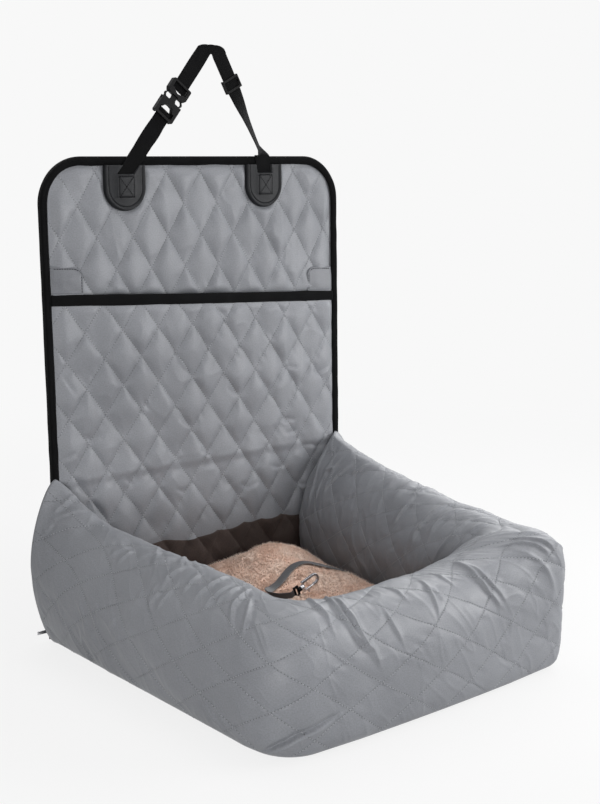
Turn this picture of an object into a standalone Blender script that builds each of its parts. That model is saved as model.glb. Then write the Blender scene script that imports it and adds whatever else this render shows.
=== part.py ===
"""Dog car seat: a U-shaped bolster bed with a quilted back panel, pocket, headrest strap and tether.

Frame: metres, +Z up, +X to the sitter's left as seen from the front, +Y towards the vehicle seat back.
The origin is the middle of the bed's underside.
"""

import math

import bmesh
import bpy
import numpy as np
from mathutils import Matrix, Vector

for old in list(bpy.data.objects):
    bpy.data.objects.remove(old, do_unlink=True)

# Driving sizes of the bed
BED_DEPTH = 0.514
BED_FRONT_WIDTH = 0.498
BED_BACK_WIDTH = 0.560
BED_FRONT_HEIGHT = 0.176

# Driving sizes of the back panel, which leans back from a fold above the bed
FOLD_HEIGHT = 0.246
PANEL_SIDE_INSET = 0.0115
PANEL_RISE = 0.452
PANEL_LEAN_DEG = 2.9
PANEL_CORNER_RADIUS = 0.068

# Steps of a quarter turn in round outlines
ARC_STEPS = 6

# Clearance between pieces that touch, and how far a cutter runs past what it cuts
SEAM_GAP = 0.0003
CUT_OVERRUN = 0.002

# Base
BASE_CLOTH_THICKNESS = 0.003
BASE_PAD_THICKNESS = 0.009
BASE_CORNER_RADIUS = 0.045
BASE_INSET = 0.012

# Bolster: a quilted cover sewn as a tube, with three fibre-filled inserts
BOLSTER_THICKNESS = 0.105
BOLSTER_END_THICKNESS = 0.062
BOLSTER_END_INSET = 0.010
BOLSTER_END_TAPER = 0.050
BOLSTER_BELLY = 0.021
BOLSTER_BACK_BELLY = 0.028
BOLSTER_INNER_BELLY = 0.008
BOLSTER_OUTER_RADIUS = 0.058
BOLSTER_INNER_RADIUS = 0.034
COVER_THICKNESS = 0.003
BOLSTER_QUILT_CROWN = 0.0035
BOLSTER_LEG_STATIONS = 11
BOLSTER_CORNER_STATIONS = 5
BOLSTER_FRONT_STATIONS = 8
BOLSTER_SIDES = 16
TOP_ROUNDNESS = 2.3
FOOT_ROUNDNESS = 4.2
END_SHARPENING = 0.9
END_SHARP_STATIONS = 3
FOOT_FLAT_SHARE = -0.5
CREST_SHARES = (
    (0, 1.31),
    (0.03, 1.2),
    (0.07, 1.1),
    (0.12, 1.04),
    (0.25, 1.02),
    (0.33, 1.04),
    (0.385, 1.07),
    (0.44, 1.0),
    (0.5, 0.96),
    (0.55, 0.99),
    (0.6, 1.03),
    (0.64, 1.06),
    (0.7, 1.08),
    (0.78, 1.12),
    (0.86, 1.17),
    (0.93, 1.24),
    (1, 1.31),
)

# Quilted cloth of the panel and the back wall
CLOTH_THICKNESS = 0.0015
QUILT_BACK = 0.0022
QUILT_FRONT = 0.0030
QUILT_CROWN = 0.0030
QUILT_COLUMNS = 18
QUILT_ROW_HEIGHT = 0.0405
QUILT_LAST_ROW_SHARE = 1.5
QUILT_SHARP_DEG = 60

# Binding sewn round the edges
BINDING_WIDTH = 0.0130
BINDING_WALL = 0.0014
BINDING_START = 0.0062

# Pocket
POCKET_RISE_START = 0.022
POCKET_MOUTH_RISE = 0.2440
POCKET_MOUTH_SLOPE = 0.0145
POCKET_GAPE = 0.0115
POCKET_THICKNESS = 0.0025
POCKET_CROWN = 0.0022
POCKET_ROWS = 5
BAND_WIDTH = 0.0135

# Plain corner patches over the ends of the pocket mouth
CORNER_PATCH_WIDTH = 0.052
CORNER_PATCH_RISE = 0.046
CORNER_PATCH_RADIUS = 0.016
CORNER_PATCH_THICKNESS = 0.0011

# Leather patches that hold the headrest strap
PATCH_PLACE_LEFT = -0.1325
PATCH_PLACE_RIGHT = 0.1185
PATCH_WIDTH = 0.0685
PATCH_DROP = 0.0780
PATCH_THICKNESS = 0.0038
PATCH_SLOT_DROP = 0.0250
PATCH_TAIL_DROP = 0.0580

# Headrest strap
WEBBING_WIDTH = 0.0250
WEBBING_THICKNESS = 0.0014
STRAP_FOOT_LEFT = -0.1107
STRAP_FOOT_RIGHT = 0.1150
STRAP_APEX_LEFT = 0.0144
STRAP_APEX_RIGHT = 0.0335
STRAP_RISE = 0.1560
STRAP_FLAT_TOP = 0.0118
STRAP_AXIS_RISE = 0.0015
STRAP_TWIST_DEG = 76.0
STRAP_TWIST_PLACE_SHARES = (0, 0.40, 0.62, 0.78, 0.915, 1)
STRAP_TWIST_SHARES = (0, 0, 1, 1, 0, 0)
STRAP_TIP_SHARE = 0.15
RIGHT_RUN_STATIONS = 16
BUCKLE_PLACE_SHARE = 0.5
SLIDER_PLACE_SHARE = 0.3256

# Side-release buckle, measured from its middle along and across the webbing
BUCKLE_HALF_LENGTH = 0.0300
BUCKLE_HALF_WIDTH = 0.0180
BUCKLE_HALF_DEPTH = 0.0040
BUCKLE_BAR = 0.0034
BUCKLE_SLOT = 0.0050
BUCKLE_INNER_BAR_SHARE = 1.25
BUCKLE_WINDOW_SHARE = 0.78
BUCKLE_WINDOW_WAIST_SHARE = 0.45
BUCKLE_CRESCENT_SHARES = (0.5, 0.6)
BUCKLE_RAIL_GAP = 0.0005
BUCKLE_COLLAR_TOP = -0.0020
BUCKLE_COLLAR_HEIGHT = 0.0085
BUCKLE_SOCKET_DEPTH = 0.0068
BUCKLE_SOCKET_HALF_DEPTH = 0.0023
BUCKLE_PRONG_HALF_WIDTH = 0.0062
BUCKLE_PRONG_WAIST = 0.0042
BUCKLE_PRONG_CLEARANCE = 0.0006
BUCKLE_SHOULDER_LOW = 0.0080
BUCKLE_SHOULDER_HIGH = 0.0125
BUCKLE_SHOULDER_HALF_WIDTH = 0.0150
BUCKLE_ARM_WIDTH = 0.0026
BUCKLE_ARM_ROOT = 0.0128
BUCKLE_ARM_BOW = 0.0162
BUCKLE_ARM_TIP = 0.0138
BUCKLE_ARM_SOCKET_SWEEP = 0.0022

# Tri-glide slider
SLIDER_LENGTH = 0.0200
SLIDER_RAIL = 0.0024
SLIDER_BAR = 0.0034
SLIDER_DEPTH = 0.0015

# Cushion: a plush cover with a slit at its back, and a fibre pad inside
CUSHION_FRONT_SIDE_GAP = 0.0205
CUSHION_BACK_SIDE_GAP = 0.0145
CUSHION_FRONT_GAP = 0.0180
CUSHION_BACK_GAP = 0.0120
CUSHION_EDGE_HEIGHT = 0.060
CUSHION_CROWN_HEIGHT = 0.088
CUSHION_HUMP = 0.027
CUSHION_HUMP_X = 0.020
CUSHION_HUMP_Y = 0.120
CUSHION_HUMP_RADIUS = 0.085
CUSHION_DRAW_IN = 0.010
CUSHION_COVER_THICKNESS = 0.004
CUSHION_GRID = 14
CUSHION_CROWDING_SHARE = 1.35
CUSHION_EDGE_POWER = 3
CUSHION_TOP_POWER_SHARE = 0.5
CUSHION_FOOT_POWER_SHARE = 0.35
CUSHION_SLIT_HEIGHT = 0.006
CUSHION_SLIT_WIDTH_SHARE = 0.61
CUSHION_SLIT_DEPTH = 0.030

# Dark lower facing of the back wall
SKIRT_RISE = 0.116
SKIRT_THICKNESS = 0.0030
SKIRT_SIDE_GAP = 0.006

# Tether: webbing with a swivel trigger hook; its turn shares set it on edge towards the hook
TETHER_WIDTH = 0.0120
TETHER_THICKNESS = 0.0012
TETHER_STEPS = 60
TETHER_START = (0.1475, 0.0340)
TETHER_ROUTE = (
    (0.1470, 0.0340, 0.0360),
    (0.1440, 0.0340, 0.0560),
    (0.1330, 0.0330, 0.0715),
    (0.1180, 0.0315, 0.0815),
    (0.0970, 0.0295, 0.0945),
    (0.0740, 0.0315, 0.1040),
    (0.0560, 0.0400, 0.1100),
    (0.0384, 0.0490, 0.1152),
    (0.0199, 0.0485, 0.1168),
    (0.0000, 0.0415, 0.1146),
    (-0.0190, 0.0310, 0.1106),
    (-0.0375, 0.0200, 0.1080),
    (-0.0550, 0.0110, 0.1070),
    (-0.0695, 0.0035, 0.1070),
    (-0.0755, -0.0095, 0.1070),
    (-0.0690, -0.0235, 0.1066),
)
TETHER_TURN_SHARES = (0, 0, 0, 0, 0, 0, 0, 0, 0, 0, 0, 0, 0, 0.15, 0.5, 0.85, 1, 1, 1)
TETHER_LEAD = 0.0070

# Hook, measured along its own axis from the webbing eye
HOOK_TILT_DEG = 22.0
HOOK_PLACE = (-0.0400, -0.0290, 0.1120)
EYE_WIDTH = 0.0165
EYE_LENGTH = 0.0085
EYE_WIRE = 0.0026
EYE_COLLAR_RADIUS = 0.0032
EYE_COLLAR_LENGTH = 0.0030
HOOK_NECK_RADIUS = 0.0040
HOOK_NECK_LENGTH = 0.0050
HOOK_WIRE = 0.0032
HOOK_WIDTH = 0.0170
HOOK_LENGTH = 0.0300
HOOK_MOUTH_SHARE = 0.62
GATE_WIDTH = 0.0026
TRIGGER_LENGTH = 0.0055

# Zipper along the back of the base
ZIP_TAPE_HEIGHT = 0.0220
ZIP_TAPE_THICKNESS = 0.0012
ZIP_TEETH_HEIGHT = 0.0046
ZIP_TEETH_DEPTH = 0.0014
ZIP_OVERHANG = 0.0090
ZIP_SLIDER_LENGTH = 0.0100
ZIP_SLIDER_HEIGHT = 0.0090
ZIP_SLIDER_WALL = 0.0012
ZIP_PULL_LENGTH = 0.0210
ZIP_PULL_WIDTH = 0.0052
ZIP_PULL_THICKNESS = 0.0014
ZIP_PIN = 0.0016
ZIP_BAIL_REACH = 0.0014

# Derived sizes and places
PANEL_WIDTH = BED_BACK_WIDTH - 2 * PANEL_SIDE_INSET
LEAN = math.radians(PANEL_LEAN_DEG)
FOLD_Y = BED_DEPTH / 2
PANEL_UP = np.array([0, math.sin(LEAN), math.cos(LEAN)])
PANEL_OUT = np.array([0, -math.cos(LEAN), math.sin(LEAN)])
PANEL_X = np.array([1.0, 0, 0])
BASE_TOP = BASE_CLOTH_THICKNESS + SEAM_GAP
CLOTH_BACK = QUILT_BACK + SEAM_GAP + CLOTH_THICKNESS
FOLD_RADIUS = QUILT_FRONT
WALL_TOP = -(FOLD_RADIUS + SEAM_GAP)
QUILT_PEAK = QUILT_FRONT + QUILT_CROWN
PATCH_BACK = QUILT_PEAK + SEAM_GAP
STRAP_PLANE = PATCH_BACK + SEAM_GAP + WEBBING_THICKNESS / 2
STRAP_AXIS = PANEL_RISE + STRAP_AXIS_RISE
BINDING_FRONT_LEG = QUILT_FRONT + SEAM_GAP + BINDING_WALL
BINDING_BACK_LEG = CLOTH_BACK + SEAM_GAP + BINDING_WALL
BED_FLOOR = BASE_TOP + BASE_PAD_THICKNESS + SEAM_GAP
CUSHION_BACK_Y = FOLD_Y - FOLD_HEIGHT * math.tan(LEAN) - QUILT_FRONT - SKIRT_THICKNESS - CUSHION_BACK_GAP
CUSHION_FRONT_Y = BOLSTER_THICKNESS + CUSHION_FRONT_GAP - BED_DEPTH / 2


def panel_point(x, rise, out):
    """World place of panel coordinates: across, up the panel from the fold, and out of its front face."""
    x, rise, out = np.broadcast_arrays(x, rise, out)
    origin = np.array([0, FOLD_Y, FOLD_HEIGHT])
    return (
        origin
        + x[..., None] * PANEL_X
        + rise[..., None] * PANEL_UP
        + out[..., None] * PANEL_OUT
    )


def finish(name, colour, roughness, metallic=0.0):
    material = bpy.data.materials.new(name)
    material.use_nodes = True
    shader = material.node_tree.nodes["Principled BSDF"]
    shader.inputs["Base Color"].default_value = (*colour, 1)
    shader.inputs["Roughness"].default_value = roughness
    shader.inputs["Metallic"].default_value = metallic
    material.diffuse_color = (*colour, 1)
    return material


GREY_SATIN = ((0.235, 0.235, 0.245), 0.42)
BLACK_WEBBING = ((0.012, 0.012, 0.013), 0.85)
BLACK_NYLON = ((0.025, 0.025, 0.027), 0.38)
DARK_LEATHER = ((0.045, 0.046, 0.050), 0.50)
DARK_CLOTH = ((0.030, 0.022, 0.020), 0.80)
PINK_PLUSH = ((0.60, 0.36, 0.27), 0.95)
WHITE_FIBRE = ((0.80, 0.80, 0.78), 0.95)
BLACK_BACKING = ((0.020, 0.020, 0.021), 0.90)
BRIGHT_ZINC = ((0.62, 0.62, 0.64), 0.25, 1.0)


def add_solid(name, points, faces, look, smooth_deg=35.0):
    """One closed body from points and faces, facing out."""
    mesh = bpy.data.meshes.new(name)
    mesh.from_pydata([tuple(map(float, p)) for p in points], [], [tuple(map(int, f)) for f in faces])
    body = bmesh.new()
    body.from_mesh(mesh)
    bmesh.ops.recalc_face_normals(body, faces=body.faces)
    if body.calc_volume(signed=True) < 0:
        bmesh.ops.reverse_faces(body, faces=body.faces)
    body.to_mesh(mesh)
    body.free()
    mesh.shade_smooth()
    mesh.set_sharp_from_angle(angle=math.radians(smooth_deg))
    mesh.materials.append(finish(name, *look))
    item = bpy.data.objects.new(name, mesh)
    bpy.context.scene.collection.objects.link(item)
    return item


def tube_faces(rings, sides, first=0, alternate=False, flip=False):
    """Faces of a tube of rings; alternate diagonals meet at every second point, as quilting lines do."""
    faces = []
    for i in range(rings - 1):
        for j in range(sides):
            a = first + i * sides + j
            b = first + i * sides + (j + 1) % sides
            c, d = b + sides, a + sides
            if alternate and 0 < i < rings - 2 and (i + j) % 2:
                pair = [(a, b, d), (b, c, d)]
            else:
                pair = [(a, b, c), (a, c, d)]
            faces += [face[::-1] for face in pair] if flip else pair
    return faces


def closed_tube(rings):
    """Points and faces of a tube through rings of points, capped at both ends."""
    count, sides = len(rings), len(rings[0])
    points = np.concatenate(rings)
    faces = tube_faces(count, sides)
    faces.append(tuple(range(sides))[::-1])
    faces.append(tuple((count - 1) * sides + j for j in range(sides)))
    return points, faces


def prism(name, outline, low, high, place, look):
    """A flat outline of (x, y) pairs, carried from low to high, put in place by place(x, y, z)."""
    flat = np.array(outline, float)
    rings = [place(flat[:, 0], flat[:, 1], np.full(len(flat), z)) for z in (low, high)]
    return add_solid(name, *closed_tube(rings), look)


def on_axis(name, point, pieces, parent=None):
    """An empty on a joint's axis, carrying the pieces that turn or slide there."""
    empty = bpy.data.objects.new(name, None)
    bpy.context.scene.collection.objects.link(empty)
    carrier = parent.matrix_world.translation if parent else Vector()
    empty.parent = parent
    empty.location = Vector(point) - carrier
    bpy.context.view_layer.update()
    for piece in pieces:
        bpy.data.objects[piece].data.transform(Matrix.Translation(-Vector(point)))
        bpy.data.objects[piece].parent = empty
    return empty


def hidden(item):
    """Marks a cutter or a joined piece, which isn't a part of its own."""
    item.hide_render = True
    item.display_type = "WIRE"
    return item


def combine(item, other, operation):
    modifier = item.modifiers.new(operation.title(), "BOOLEAN")
    modifier.operation = operation
    modifier.solver = "EXACT"
    modifier.object = hidden(other)
    return item


def rectangle(x_low, x_high, y_low, y_high):
    return [(x_low, y_low), (x_high, y_low), (x_high, y_high), (x_low, y_high)]


def arc(centre, radius, start_deg, end_deg, steps):
    angles = np.radians(np.linspace(start_deg, end_deg, steps + 1))
    return [(centre[0] + radius * math.cos(a), centre[1] + radius * math.sin(a)) for a in angles]


def half_width_at(y):
    """Half width of the tapering bed at a depth y."""
    share = (y + BED_DEPTH / 2) / BED_DEPTH
    return (BED_FRONT_WIDTH + (BED_BACK_WIDTH - BED_FRONT_WIDTH) * share) / 2


def bed_outline(inset, radius, back_y):
    """Outline of the tapering bed, round at its front corners, from the back left anticlockwise."""
    front_y = -BED_DEPTH / 2 + inset
    front = half_width_at(front_y) - inset
    back = half_width_at(back_y) - inset
    left = arc((-front + radius, front_y + radius), radius, 180, 270, ARC_STEPS)
    right = arc((front - radius, front_y + radius), radius, 270, 360, ARC_STEPS)
    return [(-back, back_y), *left, *right, (back, back_y)]


def world_place(x, y, z):
    return np.stack([x, y, z], -1)


def make_base():
    wall_foot = FOLD_Y - (FOLD_HEIGHT - BASE_TOP) * math.tan(LEAN)
    cloth_back = wall_foot + CLOTH_BACK
    prism(
        "base_cloth",
        bed_outline(BASE_INSET, BASE_CORNER_RADIUS, cloth_back),
        0,
        BASE_CLOTH_THICKNESS,
        world_place,
        BLACK_BACKING,
    )
    inset = BOLSTER_THICKNESS + BOLSTER_INNER_BELLY
    pad_back = wall_foot - QUILT_PEAK - SKIRT_THICKNESS - SEAM_GAP
    prism(
        "base_pad",
        bed_outline(inset, BOLSTER_INNER_RADIUS, pad_back),
        BASE_TOP,
        BASE_TOP + BASE_PAD_THICKNESS,
        world_place,
        WHITE_FIBRE,
    )


def bolster_plan():
    """Floor points of the bolster's outer and inner sides, its belly and its arc share."""
    front_y = -BED_DEPTH / 2
    inner_y = front_y + BOLSTER_THICKNESS
    outer_front = half_width_at(front_y)
    inner_front = half_width_at(inner_y) - BOLSTER_THICKNESS
    turn = np.radians(np.linspace(180, 270, BOLSTER_CORNER_STATIONS))
    leg_y = np.linspace(FOLD_Y, front_y + BOLSTER_OUTER_RADIUS, BOLSTER_LEG_STATIONS, endpoint=False)
    to_end = FOLD_Y - leg_y
    taper = np.clip(to_end / BOLSTER_END_TAPER, 0, 1)
    taper = np.sqrt(taper * (2 - taper))
    outer_x = half_width_at(leg_y)
    outer_x = outer_x - (outer_x[0] - PANEL_WIDTH / 2 + BOLSTER_END_INSET) * (1 - taper)
    depth = BOLSTER_END_THICKNESS + (BOLSTER_THICKNESS - BOLSTER_END_THICKNESS) * taper
    leg_share = to_end / BED_DEPTH
    belly = BOLSTER_BACK_BELLY + (BOLSTER_BELLY - BOLSTER_BACK_BELLY) * leg_share
    inner_end = inner_y + BOLSTER_INNER_RADIUS
    inner_leg_y = FOLD_Y - to_end * (FOLD_Y - inner_end) / (FOLD_Y - front_y - BOLSTER_OUTER_RADIUS)
    outer = [(-x, y) for x, y in zip(outer_x, leg_y)]
    inner = [(-(x - d), y) for x, d, y in zip(outer_x, depth, inner_leg_y)]
    bellies = list(belly * taper)
    for a in turn:
        outer.append(
            (
                -outer_front + BOLSTER_OUTER_RADIUS * (1 + math.cos(a)),
                front_y + BOLSTER_OUTER_RADIUS * (1 + math.sin(a)),
            )
        )
        inner.append(
            (
                -inner_front + BOLSTER_INNER_RADIUS * (1 + math.cos(a)),
                inner_y + BOLSTER_INNER_RADIUS * (1 + math.sin(a)),
            )
        )
        bellies.append(BOLSTER_BELLY)
    half = BOLSTER_FRONT_STATIONS // 2
    for k in range(1, half + 1):
        share = 1 - k / half
        outer.append((-(outer_front - BOLSTER_OUTER_RADIUS) * share, front_y))
        inner.append((-(inner_front - BOLSTER_INNER_RADIUS) * share, inner_y))
        bellies.append(BOLSTER_BELLY)
    outer += [(-x, y) for x, y in outer[-2::-1]]
    inner += [(-x, y) for x, y in inner[-2::-1]]
    bellies += bellies[-2::-1]
    outer, inner = np.array(outer), np.array(inner)
    middle = (outer + inner) / 2
    along = np.concatenate([[0], np.cumsum(np.linalg.norm(np.diff(middle, axis=0), axis=1))])
    return outer, inner, np.array(bellies), along / along[-1]


def bolster_rings(depth, crown=0.0):
    """Rings of the bolster's surface, depth inside the cover, with its quilting raised by crown."""
    outer, inner, belly, share = bolster_plan()
    height = BED_FRONT_HEIGHT * np.interp(share, *zip(*CREST_SHARES)) - BASE_TOP
    angles = np.linspace(0, 2 * math.pi, BOLSTER_SIDES, endpoint=False) + math.pi / BOLSTER_SIDES
    rings = []
    last = len(outer) - 1
    for i in range(len(outer)):
        middle = (outer[i] + inner[i]) / 2
        side = (outer[i] - inner[i]) / 2
        half = np.linalg.norm(side)
        side = side / half
        end = min(i, last - i)
        sharp = TOP_ROUNDNESS - END_SHARPENING * max(0, 1 - end / END_SHARP_STATIONS)
        ring = []
        for j, a in enumerate(angles):
            c, s = math.cos(a), math.sin(a)
            power = sharp if s > 0 else FOOT_ROUNDNESS
            across = math.copysign(abs(c) ** (2 / power), c)
            up = 0.5 + 0.5 * math.copysign(abs(s) ** (2 / power), s)
            bulge = math.sin(math.pi * min(max(up, 0), 1))
            swell = belly[i] if across > 0 else BOLSTER_INNER_BELLY * belly[i] / BOLSTER_BELLY
            raised = crown if (i + j) % 2 and 0 < end and s > FOOT_FLAT_SHARE else 0.0
            reach = across * (half - depth) + math.copysign(swell * bulge, across) + raised * c
            z = depth + (height[i] - 2 * depth) * up + raised * max(s, 0)
            place = middle + side * reach
            ring.append((place[0], place[1], BASE_TOP + z))
        ring = np.array(ring)
        near_end = max(0.0, 1 - end / END_SHARP_STATIONS)
        lean_back = (FOLD_HEIGHT - ring[:, 2]) * math.tan(LEAN)
        ring[:, 1] -= (lean_back + (BINDING_FRONT_LEG + SEAM_GAP) / math.cos(LEAN)) * near_end
        rings.append(ring)
    return rings


def make_bolster():
    outside = bolster_rings(0, BOLSTER_QUILT_CROWN)
    inside = bolster_rings(COVER_THICKNESS)
    count, sides = len(outside), BOLSTER_SIDES
    points = np.concatenate([*outside, *inside])
    shift = count * sides
    faces = tube_faces(count, sides, alternate=True) + tube_faces(count, sides, shift, flip=True)
    for row, turn in ((0, 1), (count - 1, -1)):
        for j in range(sides):
            a, b = row * sides + j, row * sides + (j + 1) % sides
            faces.append((a, a + shift, b + shift, b)[::turn])
    add_solid("bolster_cover", points, faces, GREY_SATIN, QUILT_SHARP_DEG)
    core = bolster_rings(COVER_THICKNESS + SEAM_GAP)
    leg = BOLSTER_LEG_STATIONS
    add_solid("bolster_fill_left", *closed_tube(core[: leg + 1]), WHITE_FIBRE)
    add_solid("bolster_fill_front", *closed_tube(core[leg + 1 : count - leg - 1]), WHITE_FIBRE)
    add_solid("bolster_fill_right", *closed_tube(core[count - leg - 1 :]), WHITE_FIBRE)


def quilt_sheet(name, columns, rows, outs, rear_rows, backs):
    """A quilted sheet: each row gives its columns' rise and front face, and the same for the rear face."""
    wide, tall = len(columns), len(rows)
    across = np.broadcast_to(columns, (tall, wide))
    front = panel_point(across, np.array(rows), np.array(outs)).reshape(-1, 3)
    rear = panel_point(across, np.array(rear_rows), np.array(backs)).reshape(-1, 3)
    shift = wide * tall
    faces = []
    for j in range(tall - 1):
        for i in range(wide - 1):
            a, b = j * wide + i, j * wide + i + 1
            c, d = b + wide, a + wide
            faces += [(a, b, c), (a, c, d)] if (i + j) % 2 else [(a, b, d), (b, c, d)]
            faces.append((shift + a, shift + d, shift + c, shift + b))
    edge = list(range(wide)) + [j * wide + wide - 1 for j in range(1, tall)]
    edge += [(tall - 1) * wide + i for i in range(wide - 2, -1, -1)]
    edge += [j * wide for j in range(tall - 2, 0, -1)]
    for k, a in enumerate(edge):
        b = edge[(k + 1) % len(edge)]
        faces.append((a, a + shift, b + shift, b))
    return add_solid(name, np.concatenate([front, rear]), faces, GREY_SATIN, QUILT_SHARP_DEG)


def quilt_columns():
    """Column places: an even lattice, with a flat margin for the binding at each side."""
    half = PANEL_WIDTH / 2 - BINDING_WALL - SEAM_GAP
    lattice = np.linspace(-PANEL_WIDTH / 2, PANEL_WIDTH / 2, QUILT_COLUMNS + 1)[1:-1]
    margin = PANEL_WIDTH / 2 - BINDING_WIDTH - SEAM_GAP
    return np.concatenate([[-half, -margin], lattice, [margin, half]])


def lattice_crown(i, j, crown):
    return crown if (i + j) % 2 else 0.0


def make_back_wall():
    """The bed's own back: quilted front, rear cloth, dark lower facing and edge binding."""
    columns = quilt_columns()
    foot = -(FOLD_HEIGHT - BASE_TOP) / math.cos(LEAN) + (CLOTH_BACK + SEAM_GAP) * math.tan(LEAN) + SEAM_GAP
    top = WALL_TOP
    skirt_top = foot + SKIRT_RISE
    levels = [foot, skirt_top + BINDING_WALL]
    while levels[-1] + QUILT_ROW_HEIGHT * QUILT_LAST_ROW_SHARE < top:
        levels.append(levels[-1] + QUILT_ROW_HEIGHT)
    levels.append(top)
    free = PANEL_WIDTH / 2 - BOLSTER_END_THICKNESS - BOLSTER_THICKNESS / 4
    rows, outs = [], []
    for j, level in enumerate(levels):
        out = np.full(len(columns), QUILT_FRONT)
        for i, x in enumerate(columns):
            if 1 < j < len(levels) - 1 and abs(x) < free:
                out[i] += lattice_crown(i, j, QUILT_CROWN)
        rows.append(np.full(len(columns), level))
        outs.append(out)
    backs = np.full((len(rows), len(columns)), -QUILT_BACK)
    quilt_sheet("back_wall_quilt", columns, rows, outs, rows, backs)
    half = PANEL_WIDTH / 2 - BINDING_WALL - SEAM_GAP
    prism(
        "back_wall_cloth",
        rectangle(-half, half, foot, top),
        -CLOTH_BACK,
        -QUILT_BACK - SEAM_GAP,
        panel_point,
        BLACK_BACKING,
    )
    skirt_half = PANEL_WIDTH / 2 - BOLSTER_END_INSET - BOLSTER_END_THICKNESS - SKIRT_SIDE_GAP
    prism(
        "back_wall_skirt",
        rectangle(-skirt_half, skirt_half, foot, skirt_top),
        QUILT_FRONT + SEAM_GAP,
        QUILT_FRONT + SEAM_GAP + SKIRT_THICKNESS,
        panel_point,
        DARK_CLOTH,
    )
    for side, name in ((-1, "back_wall_binding_left"), (1, "back_wall_binding_right")):
        edge = side * PANEL_WIDTH / 2
        outer_line = [(edge, foot), (edge, top)]
        inward = [(-side, 0), (-side, 0)]
        edge_binding(name, outer_line, inward, BINDING_BACK_LEG, BINDING_FRONT_LEG)
    return foot


def edge_binding(name, line, inward, back_leg, front_leg):
    """Webbing folded over an edge: a C section carried along the edge line."""
    section = [
        (0, -back_leg),
        (BINDING_WIDTH, -back_leg),
        (BINDING_WIDTH, -back_leg + BINDING_WALL),
        (BINDING_WALL, -back_leg + BINDING_WALL),
        (BINDING_WALL, front_leg - BINDING_WALL),
        (BINDING_WIDTH, front_leg - BINDING_WALL),
        (BINDING_WIDTH, front_leg),
        (0, front_leg),
    ]
    rings = []
    for (x, rise), (dx, dr) in zip(line, inward):
        reach = np.array([e for e, _ in section])
        out = np.array([n for _, n in section])
        rings.append(panel_point(x + dx * reach, rise + dr * reach, out))
    return add_solid(name, *closed_tube(rings), BLACK_WEBBING)


def panel_edge_line():
    """The panel's side and top edge, with its inward directions, round at the two top corners."""
    half, top, radius = PANEL_WIDTH / 2, PANEL_RISE, PANEL_CORNER_RADIUS
    line, inward = [(-half, BINDING_START)], [(1.0, 0.0)]
    for centre, start in (((-half + radius, top - radius), 180), ((half - radius, top - radius), 90)):
        for a in np.radians(np.linspace(start, start - 90, ARC_STEPS + 1)):
            line.append((centre[0] + radius * math.cos(a), centre[1] + radius * math.sin(a)))
            inward.append((-math.cos(a), -math.sin(a)))
    line.append((half, BINDING_START))
    inward.append((-1.0, 0.0))
    return line, inward


def clipped_by_edge(item):
    """Rounds the panel layer's top corners to lie inside the folded binding."""
    line, inward = panel_edge_line()
    inset = BINDING_WALL + SEAM_GAP
    outline = [(x + dx * inset, r + dr * inset) for (x, r), (dx, dr) in zip(line, inward)]
    low = -2 * FOLD_RADIUS
    outline[0], outline[-1] = (outline[0][0], low), (outline[-1][0], low)
    reach = QUILT_PEAK + CLOTH_BACK
    cutter = prism(item.name + "_outline", outline, -reach, reach, panel_point, BLACK_BACKING)
    return combine(item, cutter, "INTERSECT")


def on_plain_ground(x, rise):
    """True where the quilting is pressed flat: near the binding's corners and behind the pocket."""
    line, _ = panel_edge_line()
    edge = min(math.hypot(x - ex, rise - er) for ex, er in line[1:-1])
    near_corner = edge < BINDING_WIDTH + PANEL_WIDTH / QUILT_COLUMNS
    return near_corner or rise < POCKET_MOUTH_RISE + POCKET_MOUTH_SLOPE + BAND_WIDTH / 2


def make_panel():
    columns = quilt_columns()
    mouth = POCKET_MOUTH_RISE + POCKET_MOUTH_SLOPE
    top = PANEL_RISE - BINDING_WALL - SEAM_GAP
    under_binding = PANEL_RISE - BINDING_WIDTH - SEAM_GAP
    lowest = np.full(len(columns), -FOLD_RADIUS)
    rows = [lowest, lowest * math.sqrt(0.5), lowest * 0]
    outs = [np.zeros(len(columns)), np.full(len(columns), FOLD_RADIUS * math.sqrt(0.5))]
    outs.append(np.full(len(columns), QUILT_FRONT))
    levels = [mouth / 2]
    level = mouth
    while level < under_binding - QUILT_ROW_HEIGHT / 3:
        levels.append(level)
        level += QUILT_ROW_HEIGHT
    levels += [under_binding, top]
    for j, level in enumerate(levels):
        rows.append(np.full(len(columns), level))
        out = np.full(len(columns), QUILT_FRONT)
        for i, x in enumerate(columns):
            if 1 < i < len(columns) - 2 and level < under_binding and not on_plain_ground(x, level):
                out[i] += lattice_crown(i, j, QUILT_CROWN)
        outs.append(out)
    backs = [np.full(len(columns), -QUILT_BACK) for _ in rows]
    rear = list(rows)
    rear[0] = np.full(len(columns), -QUILT_BACK * math.sqrt(0.5))
    rear[1] = np.zeros(len(columns))
    rear[2] = np.full(len(columns), QUILT_BACK)
    backs[0] = np.full(len(columns), -QUILT_BACK * math.sqrt(0.5))
    clipped_by_edge(quilt_sheet("panel_quilt", columns, rows, outs, rear, backs))
    half = PANEL_WIDTH / 2 - BINDING_WALL - SEAM_GAP
    cloth = prism(
        "panel_cloth",
        rectangle(-half, half, 2 * FOLD_RADIUS, top),
        -CLOTH_BACK,
        -QUILT_BACK - SEAM_GAP,
        panel_point,
        BLACK_BACKING,
    )
    clipped_by_edge(cloth)
    line, inward = panel_edge_line()
    edge_binding("panel_binding", line, inward, BINDING_BACK_LEG, BINDING_FRONT_LEG)


def mouth_rise(x):
    """Height of the pocket's mouth, which hangs a little lower at one side."""
    return POCKET_MOUTH_RISE - POCKET_MOUTH_SLOPE * x / (PANEL_WIDTH / 2)


def pocket_gape(x, share):
    """How far the pocket stands off the panel: most at the middle of its mouth."""
    across = x / (PANEL_WIDTH / 2 - BINDING_WIDTH)
    return POCKET_GAPE * np.maximum(0, 1 - across**2) * math.sin(math.pi / 2 * share)


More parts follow.
